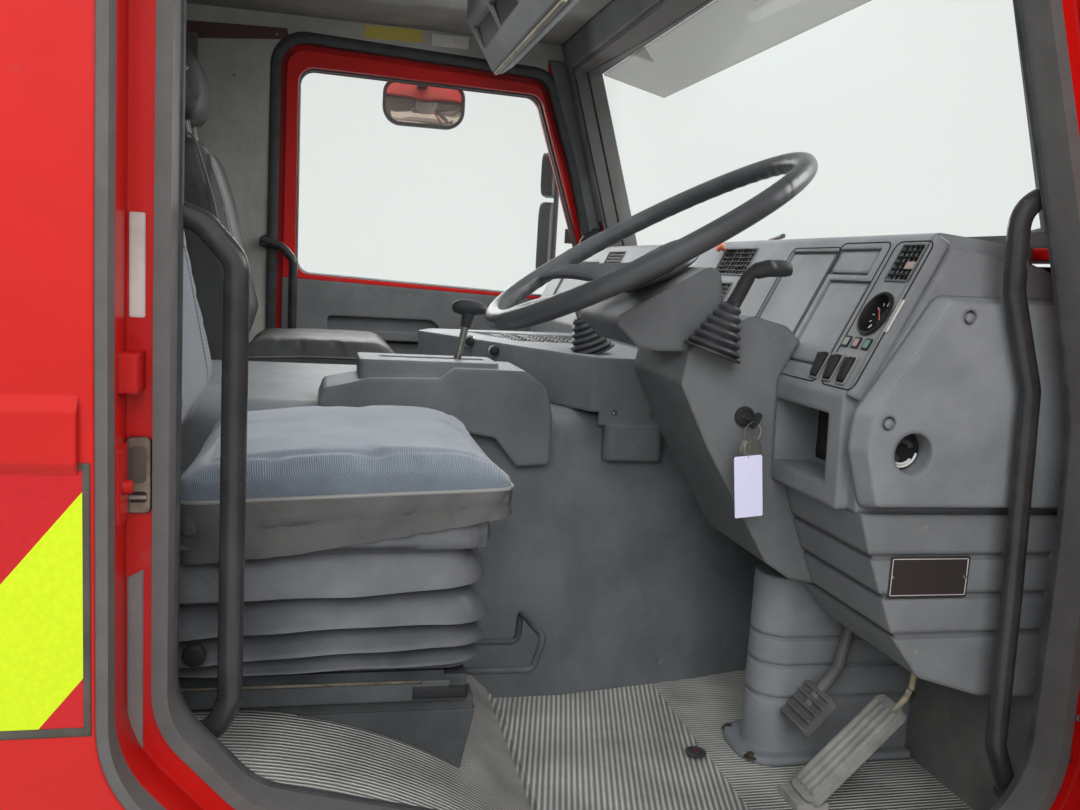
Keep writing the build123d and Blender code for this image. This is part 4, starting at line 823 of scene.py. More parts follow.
def buildDriverCushion(s):
    (x0, y0), (x1, y1), r = s["low"], s["high"], s["corner"]
    rows = [(x0, y0, 0.03), (x1, y0, r), (x1, y1, r), (x0, y1, 0.03)]
    low = lambda x: along(s["underside"], x)
    pipe = lambda x: along(s["piping"], x)
    top = lambda x: along(s["crown"], x)
    levels = [(0.012, lambda x: low(x) + 0.001), (0.004, lambda x: low(x) + 0.006), (0.004, lambda x: between(low(x), pipe(x), 0.5)),
              (0.004, lambda x: pipe(x) - 0.004), (0.007, pipe), (0.004, lambda x: pipe(x) + 0.006)]
    for amount, share in s["swell"]:
        levels.append((amount, lambda x, share=share: between(pipe(x), top(x), share)))
    piece = puff("driverCushion", mound(rows, levels), "cab", "seat_fabric", ("driver_seat_cushion",))
    for vertex in piece.data.vertices:
        co = vertex.co
        if co.z > pipe(co.x) + 0.012:
            gap = boxGap(co.x, co.y, s["low"], s["high"], r) + s["seamIn"]
            co.z -= 0.0022 * max(0.0, 1 - abs(gap) / 0.007)
        elif co.z < pipe(co.x) - 0.004:
            # slack creases of the side band
            t = (co.z - low(co.x)) / 0.04
            run = co.x if abs(co.y - y0) < 0.05 or abs(co.y - y1) < 0.05 else co.y
            fold = 0.0012 * math.sin(run * 120 + 3 * math.sin(run * 31)) * math.sin(math.pi * max(0, min(1, t)))
            away = Vector((co.x - (x0 + x1) / 2, co.y - (y0 + y1) / 2, 0)).normalized()
            vertex.co = co + away * fold
    piece.data.materials.clear()
    piece.data.materials.append(slotMaterials["seat_fabric"])
    paintFaces(piece, extra["sideVinyl"], lambda c: c.z < pipe(c.x))
    loop = spaced(roundedLoop(rows, 8), 120)
    path = pipingPath(piece, loop, pipe, ((x0 + x1) / 2, (y0 + y1) / 2))
    Form().tube(path, 0.0026, 8, loop=True).finish("driverCushionPiping", [extra["piping"]], slot="seat_fabric")
    buildSkirt(s, piece, loop, pipe, low)


def buildSkirt(s, piece, loop, pipe, low):
    # vinyl skirt over the cushion's side, deeper at the rear, with slack creases
    tree = BVHTree.FromPolygons([v.co for v in piece.data.vertices], [tuple(p.vertices) for p in piece.data.polygons])
    centre = Vector(((s["low"][0] + s["high"][0]) / 2, (s["low"][1] + s["high"][1]) / 2, 0))
    outer, inner = [[] for i in range(12)], [[] for i in range(12)]
    walked = 0.0
    for i, p in enumerate(loop):
        walked += (p - loop[i - 1]).length
        away = Vector((p.x - centre.x, p.y - centre.y, 0)).normalized()
        foot = along(s["skirt"], p.x)
        last = None
        for k in range(12):
            z = between(pipe(p.x) - 0.0015, foot, k / 11)
            if z > low(p.x) + 0.008 or last is None:
                last = tree.ray_cast(Vector((p.x, p.y, z)) + away * 0.06, -away)[0] or last or Vector((p.x, p.y, z))
            point = Vector((last.x, last.y, z))
            crease = 0.0042 * math.sin(walked * 62 + 2.6 * math.sin(walked * 17)) * math.sin(math.pi * min(1, k / 11 * 1.05))
            crease += 0.0020 * math.sin(walked * 150 + 0.6 * k) * (k / 11)
            outer[k].append(point + away * (0.0024 + crease * 0.9))
            inner[k].append(point + away * (0.0004 + min(0, crease) * 0.5))
    Form().rings(outer + inner[::-1], loop=True).finish("driverCushionSkirt", [extra["sideVinyl"]], slot="seat_fabric", smooth=70)


driverBack = {
    "profile": [(-0.470, 0.604, 0.02), (-0.450, 0.653, 0.03), (-0.434, 0.690, 0.03), (-0.464, 0.850, 0.1),
                (-0.546, 1.245, 0.03), (-0.608, 1.245, 0.03), (-0.582, 0.900, 0.1), (-0.545, 0.604, 0.02)],
    "head": [(-0.556, 1.290, 0.03), (-0.568, 1.416, 0.03), (-0.632, 1.416, 0.03), (-0.638, 1.290, 0.03)],
    "middle": -0.63,
    "half": 0.222,
    "headHalf": 0.118,
}


def buildBack(name, s, slot, replaces, piping):
    low, high = s["middle"] - s["half"], s["middle"] + s["half"]
    back = puff(name, backRings(s["profile"], low, high, 0.03), "cab", slot, replaces)
    for vertex in back.data.vertices:
        co = vertex.co
        off = abs(co.y - s["middle"])
        if co.x > s["seamFrom"](co.z) if "seamFrom" in s else co.x > -0.53:
            # sewn channels between the middle panel and the bolsters
            co.x -= 0.006 * max(0.0, 1 - abs(off - s["half"] * 0.62) / 0.009)
            co.x += 0.008 * smoothStep((off - s["half"] * 0.66) / 0.05)
    head = puff(name + "Head", backRings(s["head"], s["middle"] - s["headHalf"], s["middle"] + s["headHalf"], 0.026),
                "cab", slot, ())
    posts = Form()
    foot = s["head"][0]
    for y in (-0.06, 0.06):
        posts.tube([(-0.580, s["middle"] + y, s["profile"][4][1] - 0.02), (-0.594, s["middle"] + y, foot[1] + 0.03)], 0.006, 16)
    posts.finish(name + "Posts", [extra["chrome"]], slot="seat_frame")
    edge = Form()
    for y in (low + 0.004, high - 0.004):
        loop = spaced(roundedLoop(s["profile"], 6), 110)
        edge.tube([(p.x, y, p.y) for p in inset(loop, 0.006)], 0.003, 8, loop=True)
    edge.finish(name + "Piping", [piping], slot=slot)
    return back, head


passengerSeat = {
    "low": (-0.468, 0.377),
    "high": (-0.056, 0.833),
    "corner": 0.05,
    "underside": [(-0.47, 0.563), (-0.08, 0.574), (-0.05, 0.584)],
    "crown": [(-0.47, 0.672), (-0.3, 0.681), (-0.13, 0.680), (-0.056, 0.655)],
}
passengerBack = {
    "profile": [(-0.476, 0.645, 0.02), (-0.446, 0.740, 0.05), (-0.509, 1.010, 0.1), (-0.552, 1.146, 0.03),
                (-0.634, 1.146, 0.04), (-0.597, 0.900, 0.1), (-0.545, 0.566, 0.02), (-0.480, 0.566, 0.02)],
    "head": [(-0.556, 1.186, 0.03), (-0.563, 1.346, 0.04), (-0.637, 1.346, 0.04), (-0.646, 1.186, 0.03)],
    "middle": 0.605,
    "half": 0.222,
    "headHalf": 0.127,
}


def buildPassengerCushion(s):
    (x0, y0), (x1, y1), r = s["low"], s["high"], s["corner"]
    rows = [(x0, y0, 0.03), (x1, y0, r), (x1, y1, r), (x0, y1, 0.03)]
    low = lambda x: along(s["underside"], x)
    top = lambda x: along(s["crown"], x)
    levels = [(0.012, low), (0.004, lambda x: low(x) + 0.008), (0.003, lambda x: between(low(x), top(x), 0.45)),
              (0.006, lambda x: between(low(x), top(x), 0.68)), (0.018, lambda x: between(low(x), top(x), 0.88)),
              (0.05, lambda x: between(low(x), top(x), 0.97)), (0.09, top)]
    piece = puff("passengerCushion", mound(rows, levels), "cab", "charcoal_fabric", ("passenger_seat_cushion",))
    height = lambda x: between(low(x), top(x), 0.72)
    path = pipingPath(piece, spaced(roundedLoop(rows, 8), 110), height, ((x0 + x1) / 2, (y0 + y1) / 2))
    Form().tube(path, 0.003, 8, loop=True).finish("passengerCushionPiping", [extra["sideVinyl"]], slot="charcoal_fabric")


puffing["voxel"] = 0.0075
buildDriverCushion(driverSeat)
back, head = buildBack("driverBack", driverBack, "seat_fabric", ("driver_seat_backrest",), extra["sideVinyl"])
for piece in (back, head):
    piece.data.materials.clear()
    piece.data.materials.append(extra["backKnit"])
buildPassengerCushion(passengerSeat)
buildBack("passengerBack", passengerBack, "charcoal_fabric", ("passenger_seat_backrest",), extra["sideVinyl"])
print("seats")


bellows = {
    "centre": (-0.262, -0.630),
    "size": (0.380, 0.400),
    "corner": 0.040,
    "low": 0.3957,
    "high": 0.5460,
    "folds": [(0.3957, 0.4160, 0.012), (0.4160, 0.4450, 0.015), (0.4450, 0.4850, 0.016), (0.4850, 0.5460, 0.014)],
    "pinch": 0.018,
    "crest": 0.16,
    "rise": 0.010,
}


def buildBellows(b):
    loop = spaced(rectangle(b["size"][0], b["size"][1], b["corner"], 8), 132)
    form = Form()
    rings = []
    for low, high, swell in b["folds"]:
        for i in range(13):
            phase = i / 13
            crest = math.sqrt(phase / b["crest"]) if phase < b["crest"] else (1 - (phase - b["crest"]) / (1 - b["crest"])) ** 0.8
            height = low + (high - low) * (phase * 0.9 if phase < b["crest"] else phase)
            ends = smoothStep((height - b["low"]) / 0.006) * smoothStep((b["high"] - height) / 0.010)
            ring = []
            for k, p in enumerate(loop):
                around = 2 * math.pi * k / len(loop)
                dent = 0.0022 * math.sin(around * 7 + low * 90) + 0.0016 * math.sin(around * 13 + low * 40)
                push = ends * (-b["pinch"] + (b["pinch"] + swell) * crest) + dent * ends * crest
                normal = Vector((math.copysign(abs(p.x / b["size"][0]) ** 7, p.x), math.copysign(abs(p.y / b["size"][1]) ** 7, p.y))).normalized()
                slant = b["rise"] * 2.2 * p.x / b["size"][0] * math.sin(math.pi * (height - b["low"]) / (b["high"] - b["low"]))
                sag = 0.0030 * ends * crest * math.sin(around * 3 + low * 55)
                ring.append((b["centre"][0] + p.x + normal.x * push, b["centre"][1] + p.y + normal.y * push, height + slant + sag))
            rings.append(ring)
    rings.append([(b["centre"][0] + p.x, b["centre"][1] + p.y, b["high"]) for p in loop])
    form.rings(rings)
    # gathered cuff round the pan above
    cuff = spaced(roundedLoop([(-0.546, -0.832, 0.02), (-0.064, -0.832, 0.03), (-0.064, -0.428, 0.03),
                               (-0.546, -0.428, 0.02)], 5), 160)
    outer, inner = [], []
    rows = [(0.0, 0.002), (0.25, 0.006), (0.6, 0.004), (1.0, 0.001)]
    top = lambda x: along([(-0.546, 0.5505), (-0.44, 0.5500), (-0.066, 0.5870)], x)
    for share, out in rows:
        outer.append([(p.x, p.y, between(0.5463, top(p.x), share)) for p in
                      (inset(cuff, -out - 0.0008 * math.sin(share * 9)))])
    for share, out in reversed(rows):
        inner.append([(p.x, p.y, between(0.5463, top(p.x), share)) for p in inset(cuff, 0.0005)])
    form.rings(outer + inner, loop=True)
    form.finish("bellows", [slotMaterials["bellows_rubber"]], slot="bellows_rubber",
                replaces=("driver_seat_bellows",), smooth=60)


buildBellows(bellows)


def buildSlide():
    # slide rail under the bellows, the pale steel strip along its upper edge, its end bracket, and the suspension's
    # valve knob
    form = Form()
    for y, out in ((-0.8405, -1), (-0.4195, 1)):
        rows = [(-0.500, 0.3605), (-0.105, 0.3605), (-0.105, 0.3860), (-0.500, 0.3860)]
        place = placeAt((0, y, 0), (1, 0, 0), (0, 0, 1)) if out < 0 else placeAt((0, y, 0), (-1, 0, 0), (0, 0, 1))
        turn = 1 if out < 0 else -1
        form.plate([Vector((turn * x, z)) for x, z in rows], 0.0, 0.0040, 0.001, 0, place)
        form.plate([Vector((turn * x, z)) for x, z in ((-0.500, 0.3835), (-0.140, 0.3835), (-0.140, 0.3870), (-0.500, 0.3870))],
                   0.0030, 0.0052, 0.0006, 1, place)
        form.plate([Vector((turn * x, z)) for x, z in ((-0.150, 0.3640), (-0.084, 0.3640), (-0.084, 0.3790), (-0.150, 0.3790))],
                   0.0030, 0.0070, 0.001, 2, place)
    knob = Matrix.Translation((-0.398, -0.838, 0.432)) @ Matrix.Rotation(math.pi / 2, 4, "X")
    form.lathe([(0.004, -0.006), (0.004, 0.012), (0.0125, 0.014), (0.0135, 0.018), (0.0120, 0.024), (0.0002, 0.025)], 28, 2, knob)
    form.finish("slideRails", [slotMaterials["seat_frame"], extra["dullSteel"], slotMaterials["black_plastic"]], slot="seat_frame")


buildSlide()
print("bellows")


# grab handles: rows of x, z, and feet as x, z, trim under the foot
handles = {
    "rear": ([(-0.440, 0.926), (-0.382, 0.908), (-0.350, 0.872), (-0.350, 0.430), (-0.362, 0.398), (-0.440, 0.378)], 0.030),
    "front": ([(0.562, 1.012), (0.505, 0.985), (0.510, 0.890), (0.548, 0.775), (0.559, 0.522), (0.564, 0.330),
               (0.594, 0.258)], 0.050),
    "feet": [(-0.429, 0.922, 0), (-0.429, 0.383, 0), (0.552, 1.007, 0.010), (0.590, 0.264, 0)],
    "radius": 0.0125,
    "depth": 0.968,
}


def buildHandles(h, sign, name, replaced):
    form = Form()
    for key in ("rear", "front"):
        rows, bend = h[key]
        path = roundPath([(x, sign * h["depth"], z) for x, z in rows], bend, 8)
        form.tube(path, h["radius"], 20)
    for x, z, trim in h["feet"]:
        face = abs(sideY(1, side["lining"] - trim - 0.0004, z + 0.017))
        start = h["depth"] - h["radius"] + 0.003
        rows = [(0.0125, start), (0.0135, start + 0.008), (0.0165, face - 0.006), (0.0170, face - 0.004), (0.0170, face)]
        form.lathe([(r, y) for r, y in rows], 24, matrix=Matrix.Translation((x, 0, z)) @ Matrix.Rotation(-sign * math.pi / 2, 4, "X"))
    form.finish(name, [slotMaterials["worn_black"]], slot=slotOfNode[replaced], replaces=(replaced,))


buildHandles(handles, -1, "handlesRight", "grab_handles_right")
buildHandles(handles, 1, "handlesLeft", "grab_handles_left")


# steering wheel, drawn flat and tilted to the column
wheelPlane = (Matrix.Translation(wheel["centre"]) @ Matrix.Rotation(-math.radians(wheel["rake"]), 4, "Y"))


def buildSteering(w):
    form = Form()
    turns, sides = 192, 20
    rings = []
    for i in range(turns):
        angle = 2 * math.pi * i / turns
        ring = []
        for k in range(sides):
            around = 2 * math.pi * k / sides
            inward = max(0.0, -math.cos(around)) * max(0.0, 0.6 - math.sin(around))
            r = w["rim"] + 0.0012 * inward * math.cos(angle * w["scallops"])
            out = w["radius"] + r * math.cos(around)
            ring.append((out * math.cos(angle), out * math.sin(angle), r * math.sin(around)))
        rings.append(ring)
    form.rings(rings, loop=True)
    form.lathe([(0.002, -0.054), (0.058, -0.054), (w["hub"], -0.050), (w["hub"], -0.041), (0.058, -0.036),
                (0.050, -0.034), (0.002, -0.034)], 48)
    form.plate(rectangle(0.118, 0.118, 0.034, 8), -0.040, -0.026, 0.005, mark=0)
    form.plate(rectangle(0.060, 0.060, 0.02, 8), -0.028, -0.0245, 0.0015, mark=1)
    for spoke in w["spokes"]:
        rings = []
        for i in range(13):
            t = i / 12
            reach = between(w["hub"] - 0.018, w["radius"] - 0.004, t)
            rise = between(-0.044, -0.001, smoothStep(0.15 + 0.85 * t) if t else 0)
            wide = between(0.070, 0.040, smoothStep(t * 1.4)) + 0.012 * smoothStep((t - 0.8) / 0.2)
            thick = between(0.016, 0.014, t)
            ring = []
            for k in range(20):
                a = 2 * math.pi * k / 20
                c, s = math.cos(a), math.sin(a)
                ring.append((reach, wide / 2 * math.copysign(abs(c) ** 0.7, c), rise + thick / 2 * math.copysign(abs(s) ** 0.7, s)))
            rings.append(ring)
        form.rings(rings, matrix=Matrix.Rotation(math.radians(spoke), 4, "Z"))
    form.lathe([(0.014, -0.100), (0.014, -0.050)], 24)
    for p in form.points:
        p.xyz = wheelPlane @ p
    form.finish("steeringWheel", [extra["rimVinyl"], slotMaterials["dark_plastic"]], body="steering",
                slot=slotOfNode["steering_wheel"], replaces=("steering_wheel",))


buildSteering(wheel)


# gaitered levers: base, neck, their radii, folds, then the stem and its grip
def gaiterForm(form, base, neck, baseRadius, neckRadius, folds, mark=0):
    base, neck = Vector(base), Vector(neck)
    length = (neck - base).length
    rows = [(baseRadius + 0.004, 0.0), (baseRadius + 0.004, 0.003)]
    for i in range(folds):
        for t, swell in ((0.0, -0.0035), (0.18, -0.0012), (0.4, 0.0022), (0.55, 0.003), (0.72, 0.002), (0.9, -0.0018)):
            share = (i + t) / folds
            rows.append((between(baseRadius, neckRadius, share) + swell * (1 - 0.4 * share), 0.003 + (length - 0.003) * share))
    rows.append((neckRadius, length))
    aim = (neck - base).normalized()
    across = aim.orthogonal().normalized()
    form.lathe(rows, 40, mark=mark, matrix=Matrix.Translation(base) @ Matrix((across, aim.cross(across), aim)).transposed().to_4x4())


def buildColumnLever():
    form = Form()
    gaiterForm(form, (0.240, -0.740, 0.786), (0.262, -0.742, 0.852), 0.036, 0.012, 6)
    path = roundPath([(0.262, -0.742, 0.848), (0.284, -0.745, 0.896), (0.312, -0.746, 0.903)], 0.016, 8)
    form.tube(path, lambda t: between(0.010, 0.0085, min(1, t * 3)) + 0.003 * smoothStep((t - 0.6) * 2.5), 20, mark=1)
    form.tube([(0.300, -0.746, 0.9005), (0.306, -0.746, 0.902), (0.330, -0.746, 0.9035), (0.338, -0.746, 0.9035)],
              lambda t: (0.0105, 0.013, 0.0132, 0.0115)[round(t * 3)], 24, mark=1, flat=0.72)
    form.tube([(0.338, -0.746, 0.9035), (0.340, -0.746, 0.9035)], 0.0088, 24, mark=2, flat=0.72)
    form.finish("columnLever", [extra["gaiter"], slotMaterials["black_plastic"], extra["paleLabel"]],
                slot=slotOfNode["column_lever"], replaces=("column_lever",))


def buildConsoleLever():
    form = Form()
    gaiterForm(form, (0.213, -0.250, 0.7405), (0.188, -0.250, 0.803), 0.040, 0.013, 6)
    form.tube([(0.189, -0.250, 0.800), (0.172, -0.250, 0.842)], 0.0065, 20, mark=1)
    form.tube([(0.1745, -0.250, 0.834), (0.1735, -0.250, 0.837), (0.1690, -0.250, 0.849), (0.168, -0.250, 0.852)],
              lambda t: (0.011, 0.013, 0.013, 0.010)[round(t * 3)], 24, mark=2)
    form.finish("consoleLever", [extra["gaiter"], extra["zinc"], slotMaterials["black_plastic"]],
                slot=slotOfNode["console_lever"], replaces=("console_lever",))


def buildSelector():
    # hammer-shaped knob: rows of x, middle height, half height, half width
    form = Form()
    rows = [(-0.0480, 0.8100, 0.0020, 0.003), (-0.0465, 0.8105, 0.0065, 0.008), (-0.0420, 0.8110, 0.0105, 0.0115),
            (-0.0330, 0.8115, 0.0132, 0.0128), (-0.0200, 0.8115, 0.0138, 0.013), (-0.0080, 0.8110, 0.0125, 0.0125),
            (0.0020, 0.8100, 0.0105, 0.0118), (0.0095, 0.8090, 0.0080, 0.0098), (0.0140, 0.8085, 0.0045, 0.006),
            (0.0150, 0.8085, 0.0015, 0.002)]
    rings = []
    for x, z, high, wide in rows:
        rings.append([(x, -0.266 + wide * math.cos(a), z + high * math.sin(a)) for a in
                      (2 * math.pi * k / 28 for k in range(28))])
    form.rings(rings)
    start, end = Vector((-0.042, -0.278, 0.6935)), Vector((-0.0185, -0.2665, 0.800))
    form.tube([between(start, end, t) for t in (0.78, 0.84, 0.9, 1.0)], lambda t: between(0.0082, 0.0112, t), 24)
    form.tube([start, between(start, end, 0.8)], 0.0065, 20, mark=1)
    form.tube([between(start, end, t) for t in (0.02, 0.10, 0.20, 0.26)],
              lambda t: between(0.0105, 0.0075, t), 24, mark=2)
    form.finish("gearSelector", [slotMaterials["black_plastic"], extra["zinc"], slotMaterials["seal_rubber"]],
                slot=slotOfNode["gear_selector"], replaces=("gear_selector",), smooth=50)


buildColumnLever()
buildConsoleLever()
buildSelector()
print("handles, wheel and levers")


# flat details: outlines laid on a plane whose x and y axes are across and up
def layPlate(form, origin, across, up, loop, low, high, bevel=0.0, mark=0):
    form.plate(loop, low, high, bevel, mark, placeAt(origin, across, up))


def flatRows(points):
    return [Vector(p) for p in points]


def clipBy(loop, a, b, c):
    # part of an outline where a x + b y is at most c
    kept = []
    for i, p in enumerate(loop):
        q = loop[(i + 1) % len(loop)]
        d, e = a * p.x + b * p.y - c, a * q.x + b * q.y - c
        if d <= 0:
            kept.append(p)
        if d * e < 0:
            kept.append(p + (q - p) * (d / (d - e)))
    return kept


patch = {
    "low": (-0.790, 0.474),
    "high": (-0.457, 0.697),
    "tape": 0.006,
    "topOfFirst": 0.679,   # upper edge of the first yellow band at the patch's front edge
    "band": 0.161,
    "slope": 1.25,
}


def buildPatch(s, sign):
    form = Form()
    origin = (0, sideY(sign, side["half"], 0.6), 0)
    # seen from outside, x runs forward on the right side and backward on the left
    matrix = placeAt(origin, (1, 0, 0), (0, 0, 1)) if sign < 0 else placeAt(origin, (-1, 0, 0), (0, 0, 1))
    (x0, z0), (x1, z1) = s["low"], s["high"]
    turn = lambda loop: [Vector((p.x if sign < 0 else -p.x, p.y)) for p in loop]
    base = flatRows([(x0, z0), (x1, z0), (x1, z1), (x0, z1)])
    form.plate(turn(base), 0.0001, 0.0007, mark=0, matrix=matrix)
    for k in range(4):
        high = s["topOfFirst"] + 2 * s["band"] * k - s["slope"] * x1
        loop = clipBy(clipBy(base, -s["slope"], 1, high), s["slope"], -1, -(high - s["band"]))
        if len(loop) > 2:
            form.plate(turn(loop), 0.0006, 0.0010, mark=1, matrix=matrix)
    t = s["tape"]
    for a, b, c, d in ((x1, z0 - 0.008, x1 + t, z1 + t), (x0, z1, x1, z1 + t), (x0, z0 - 0.008, x1, z0)):
        form.plate(turn(flatRows([(a, b), (c, b), (c, d), (a, d)])), 0.0001, 0.0012, mark=2, matrix=matrix)
    form.finish("patchRight" if sign < 0 else "patchLeft",
                [extra["reflectRed"], extra["reflectYellow"], extra["edgeTape"]], slot="red_paint")


buildPatch(patch, -1)
buildPatch(patch, 1)


# seals: a section swept round an outline, rows of offset outwards and distance from the middle
def outlineBand(form, rows, section, sign, mark=0, matrix=None, steps=8):
    loop = roundedLoop(rows, steps)
    rings = []
    for out, depth in section:
        ring = inset(loop, -out) if out else loop
        rings.append([(p.x, sideY(sign, depth, p.y), p.y) for p in ring])
    form.rings(rings, mark, matrix, loop=True)


sections = {
    "flange": [(-0.0035, 0.9925), (0.004, 0.9900), (0.014, 0.9895), (0.022, 0.9905), (0.0255, 0.9930), (0.0245, 0.9985),
               (0.0150, 0.9998), (0.004, 0.9998), (-0.0025, 0.9975)],
    "bulb": [(0.0015, 1.0395), (0.0025, 1.0435), (0.0055, 1.0448), (0.0085, 1.0435), (0.0095, 1.0395)],
    "glazing": [(-0.0045, 1.0612), (-0.0050, 1.0500), (-0.0030, 1.0440), (-0.0004, 1.0430), (-0.0004, 1.0612)],
    "glazingOut": [(-0.0060, 1.0690), (-0.0060, 1.0710), (-0.0040, 1.0730), (-0.0004, 1.0730), (-0.0004, 1.0683)],
}


def buildSeals(s):
    for sign, tag in ((-1, "Right"), (1, "Left")):
        form = Form()
        outlineBand(form, openingRows, s["flange"], sign)
        form.finish("openingSeal" + tag, [extra["gaiter"]], slot="seal_rubber", smooth=50)
        form = Form()
        for key in ("glazing", "glazingOut"):
            outlineBand(form, windowRows, s[key], sign, matrix=openDoor if sign < 0 else None)
        form.finish("windowRubber" + tag, [extra["gaiter"]], body="door_right" if sign < 0 else "door_left",
                    slot="seal_rubber", smooth=50)


buildSeals(sections)


# striker pocket and labels on the rear jamb
def buildJamb():
    form = Form()
    origin = mm(-426.5, -1032, 677)
    layPlate(form, origin, (1, 0, 0), (0, 0, 1), rectangle(0.0228, 0.071, 0.006), 0.0, 0.0052, 0.0012, 0)
    layPlate(form, origin, (1, 0, 0), (0, 0, 1), rectangle(0.0140, 0.034, 0.004, v=0.010), 0.0046, 0.0056, 0.0003, 1)
    # black patch round the striker pin: painted shade of the pocket's opening
    layPlate(form, origin, (1, 0, 0), (0, 0, 1), rectangle(0.0150, 0.010, 0.003, v=-0.020), 0.0046, 0.0057, 0.0003, 2)
    form.tube([mm(-434, -1038, 657), mm(-419, -1038, 657)], 0.0026, 16, mark=3)
    form.finish("strikerPocket", [extra["dullSteel"], extra["edgeTape"], extra["deepBlack"], extra["zinc"]], slot="steel")
    form = Form()
    layPlate(form, (0, -1.032, 0), (1, 0, 0), (0, 0, 1),
             flatRows([(-0.4365, 0.392), (-0.4225, 0.404), (-0.4225, 0.588), (-0.4365, 0.580)]), 0.0001, 0.0005, 0, 0)
    layPlate(form, (0, -1.032, 0), (1, 0, 0), (0, 0, 1), rectangle(0.0135, 0.092, 0.002, u=-0.4285, v=0.865), 0.0001,
             0.0005, 0, 1)
    form.finish("jambLabels", [extra["paleLabel"], extra["whiteLabel"]], slot="steel")


buildJamb()


# dashboard face: local x towards the driver's door, y up the slope, z outwards
dashPlace = placeAt(mm(346, 0, 752), (0, -1, 0), (0.4419, 0, 0.8971))


def dashLoop(y, v, width, height, radius):
    return rectangle(width, height, radius, 5, u=-y / 1000, v=v / 1000)


dashFace = {
    "recesses": [(-630, 120, 134, 164), (-752, 185, 104, 40), (-768, 94, 104, 126)],
    "grooves": [(-630, 120, 146, 176), (-760, 112, 124, 204), (-872, 112, 78, 204)],
    "squares": [(-843, 71, "squareGrey"), (-866, 71, "squarePink"), (-890, 71, "squareGreen")],
    "rockers": [-812, -845, -878],
    "gauge": (-872, 112, 28),
    "label": (-912, 112, 9, 44),
    "knob": (-292, 208),
}


def buildDashDetails(s):
    form = Form()
    for y, v, w, h in s["recesses"]:
        loop = dashLoop(y, v, w - 0.6, h - 0.6, 0.010)
        loop = rectangle((w - 0.6) / 1000, (h - 0.6) / 1000, 0.009, 5, u=-y / 1000, v=v / 1000)
        form.plate(inset(loop, 0.0035), -0.0051, -0.0016, 0.0012, 0, dashPlace)
    for y, v, w, h in s["grooves"]:
        loop = rectangle(w / 1000, h / 1000, 0.012, 6, u=-y / 1000, v=v / 1000)
        form.tube([(p.x, p.y, 0.0001) for p in loop], 0.0009, 6, 1, dashPlace, loop=True)
    y, v, r = s["gauge"]
    gauge = dashPlace @ Matrix.Translation((-y / 1000, v / 1000, 0))
    r = r / 1000
    form.lathe([(r - 0.0004, -0.0115), (r - 0.0004, 0.0005), (r + 0.0020, 0.0012), (r + 0.0016, 0.0032), (r - 0.0020, 0.0036),
                (r - 0.0040, -0.0010), (r - 0.0045, -0.0115)], 48, 1, gauge)
    form.lathe([(0.0002, -0.0100), (r - 0.0044, -0.0100), (r - 0.0044, -0.0086), (0.0002, -0.0086)], 48, 2, gauge)
    for k in range(11):
        a = math.radians(225 - 27 * k)
        c, n = math.cos(a), math.sin(a)
        wide, reach = (0.0008, 0.0045) if k % 5 else (0.0013, 0.0065)
        tick = [Vector((c * q - n * w, n * q + c * w)) for q, w in
                ((r - 0.006, -wide), (r - 0.006, wide), (r - 0.006 - reach, wide), (r - 0.006 - reach, -wide))]
        form.plate(tick, -0.0087, -0.0083, mark=3, matrix=gauge)
    form.plate(flatRows([(-0.001, -0.004), (0.0012, -0.004), (-0.0125, 0.0125), (-0.0135, 0.0115)]), -0.0080, -0.0076,
               mark=5, matrix=gauge)
    y, v, w, h = s["label"]
    form.plate(rectangle(w / 1000, h / 1000, 0.002, u=-y / 1000, v=v / 1000), 0.0001, 0.0006, 0, 3, dashPlace)
    for y, v, name in s["squares"]:
        form.plate(rectangle(0.0155, 0.0155, 0.002, u=-y / 1000, v=v / 1000), 0.0, 0.0020, 0.0006, 1, dashPlace)
        mark = 6 + [q[2] for q in s["squares"]].index(name)
        form.plate(rectangle(0.0105, 0.0105, 0.001, u=-y / 1000, v=v / 1000), 0.0018, 0.0024, 0.0002, mark, dashPlace)
    for y in s["rockers"]:
        form.plate(rectangle(0.0225, 0.0400, 0.003, u=-y / 1000, v=0.034), 0.0, 0.0022, 0.0006, 4, dashPlace)
        form.plate(rectangle(0.0175, 0.0350, 0.002, u=-y / 1000, v=0.034), 0.0018, 0.0026, 0.0002, 1, dashPlace)
        place = dashPlace @ Matrix.Translation((-y / 1000, 0.034, 0.0024)) @ Matrix.Rotation(math.radians(9), 4, "X")
        form.plate(rectangle(0.0140, 0.0300, 0.0015), -0.002, 0.0052, 0.0012, 9, place)
    form.finish("dashDetails", [slotMaterials["dash_plastic"], extra["deepBlack"], extra["gaugeGlass"], extra["whiteLabel"],
                extra["paleLabel"], extra["orangeKnob"], extra["squareGrey"], extra["squarePink"], extra["squareGreen"],
                slotMaterials["black_plastic"]], slot="dash_plastic")
    form = Form()
    y, v = s["knob"]
    knob = dashPlace @ Matrix.Translation((-y / 1000, v / 1000, 0))
    form.lathe([(0.004, -0.0005), (0.004, 0.006), (0.0085, 0.008), (0.0095, 0.011), (0.0085, 0.015), (0.004, 0.0165),
                (0.0005, 0.0168)], 28, 0, knob)
    form.finish("dashKnob", [extra["orangeKnob"]], slot="dash_plastic")


buildDashDetails(dashFace)


# door end of the dashboard: plate, hose in its hole, seam
def nearSurface(names, x, z):
    return cast(names, (x / 1000, -1.3, z / 1000), (0, 1, 0))[0].y


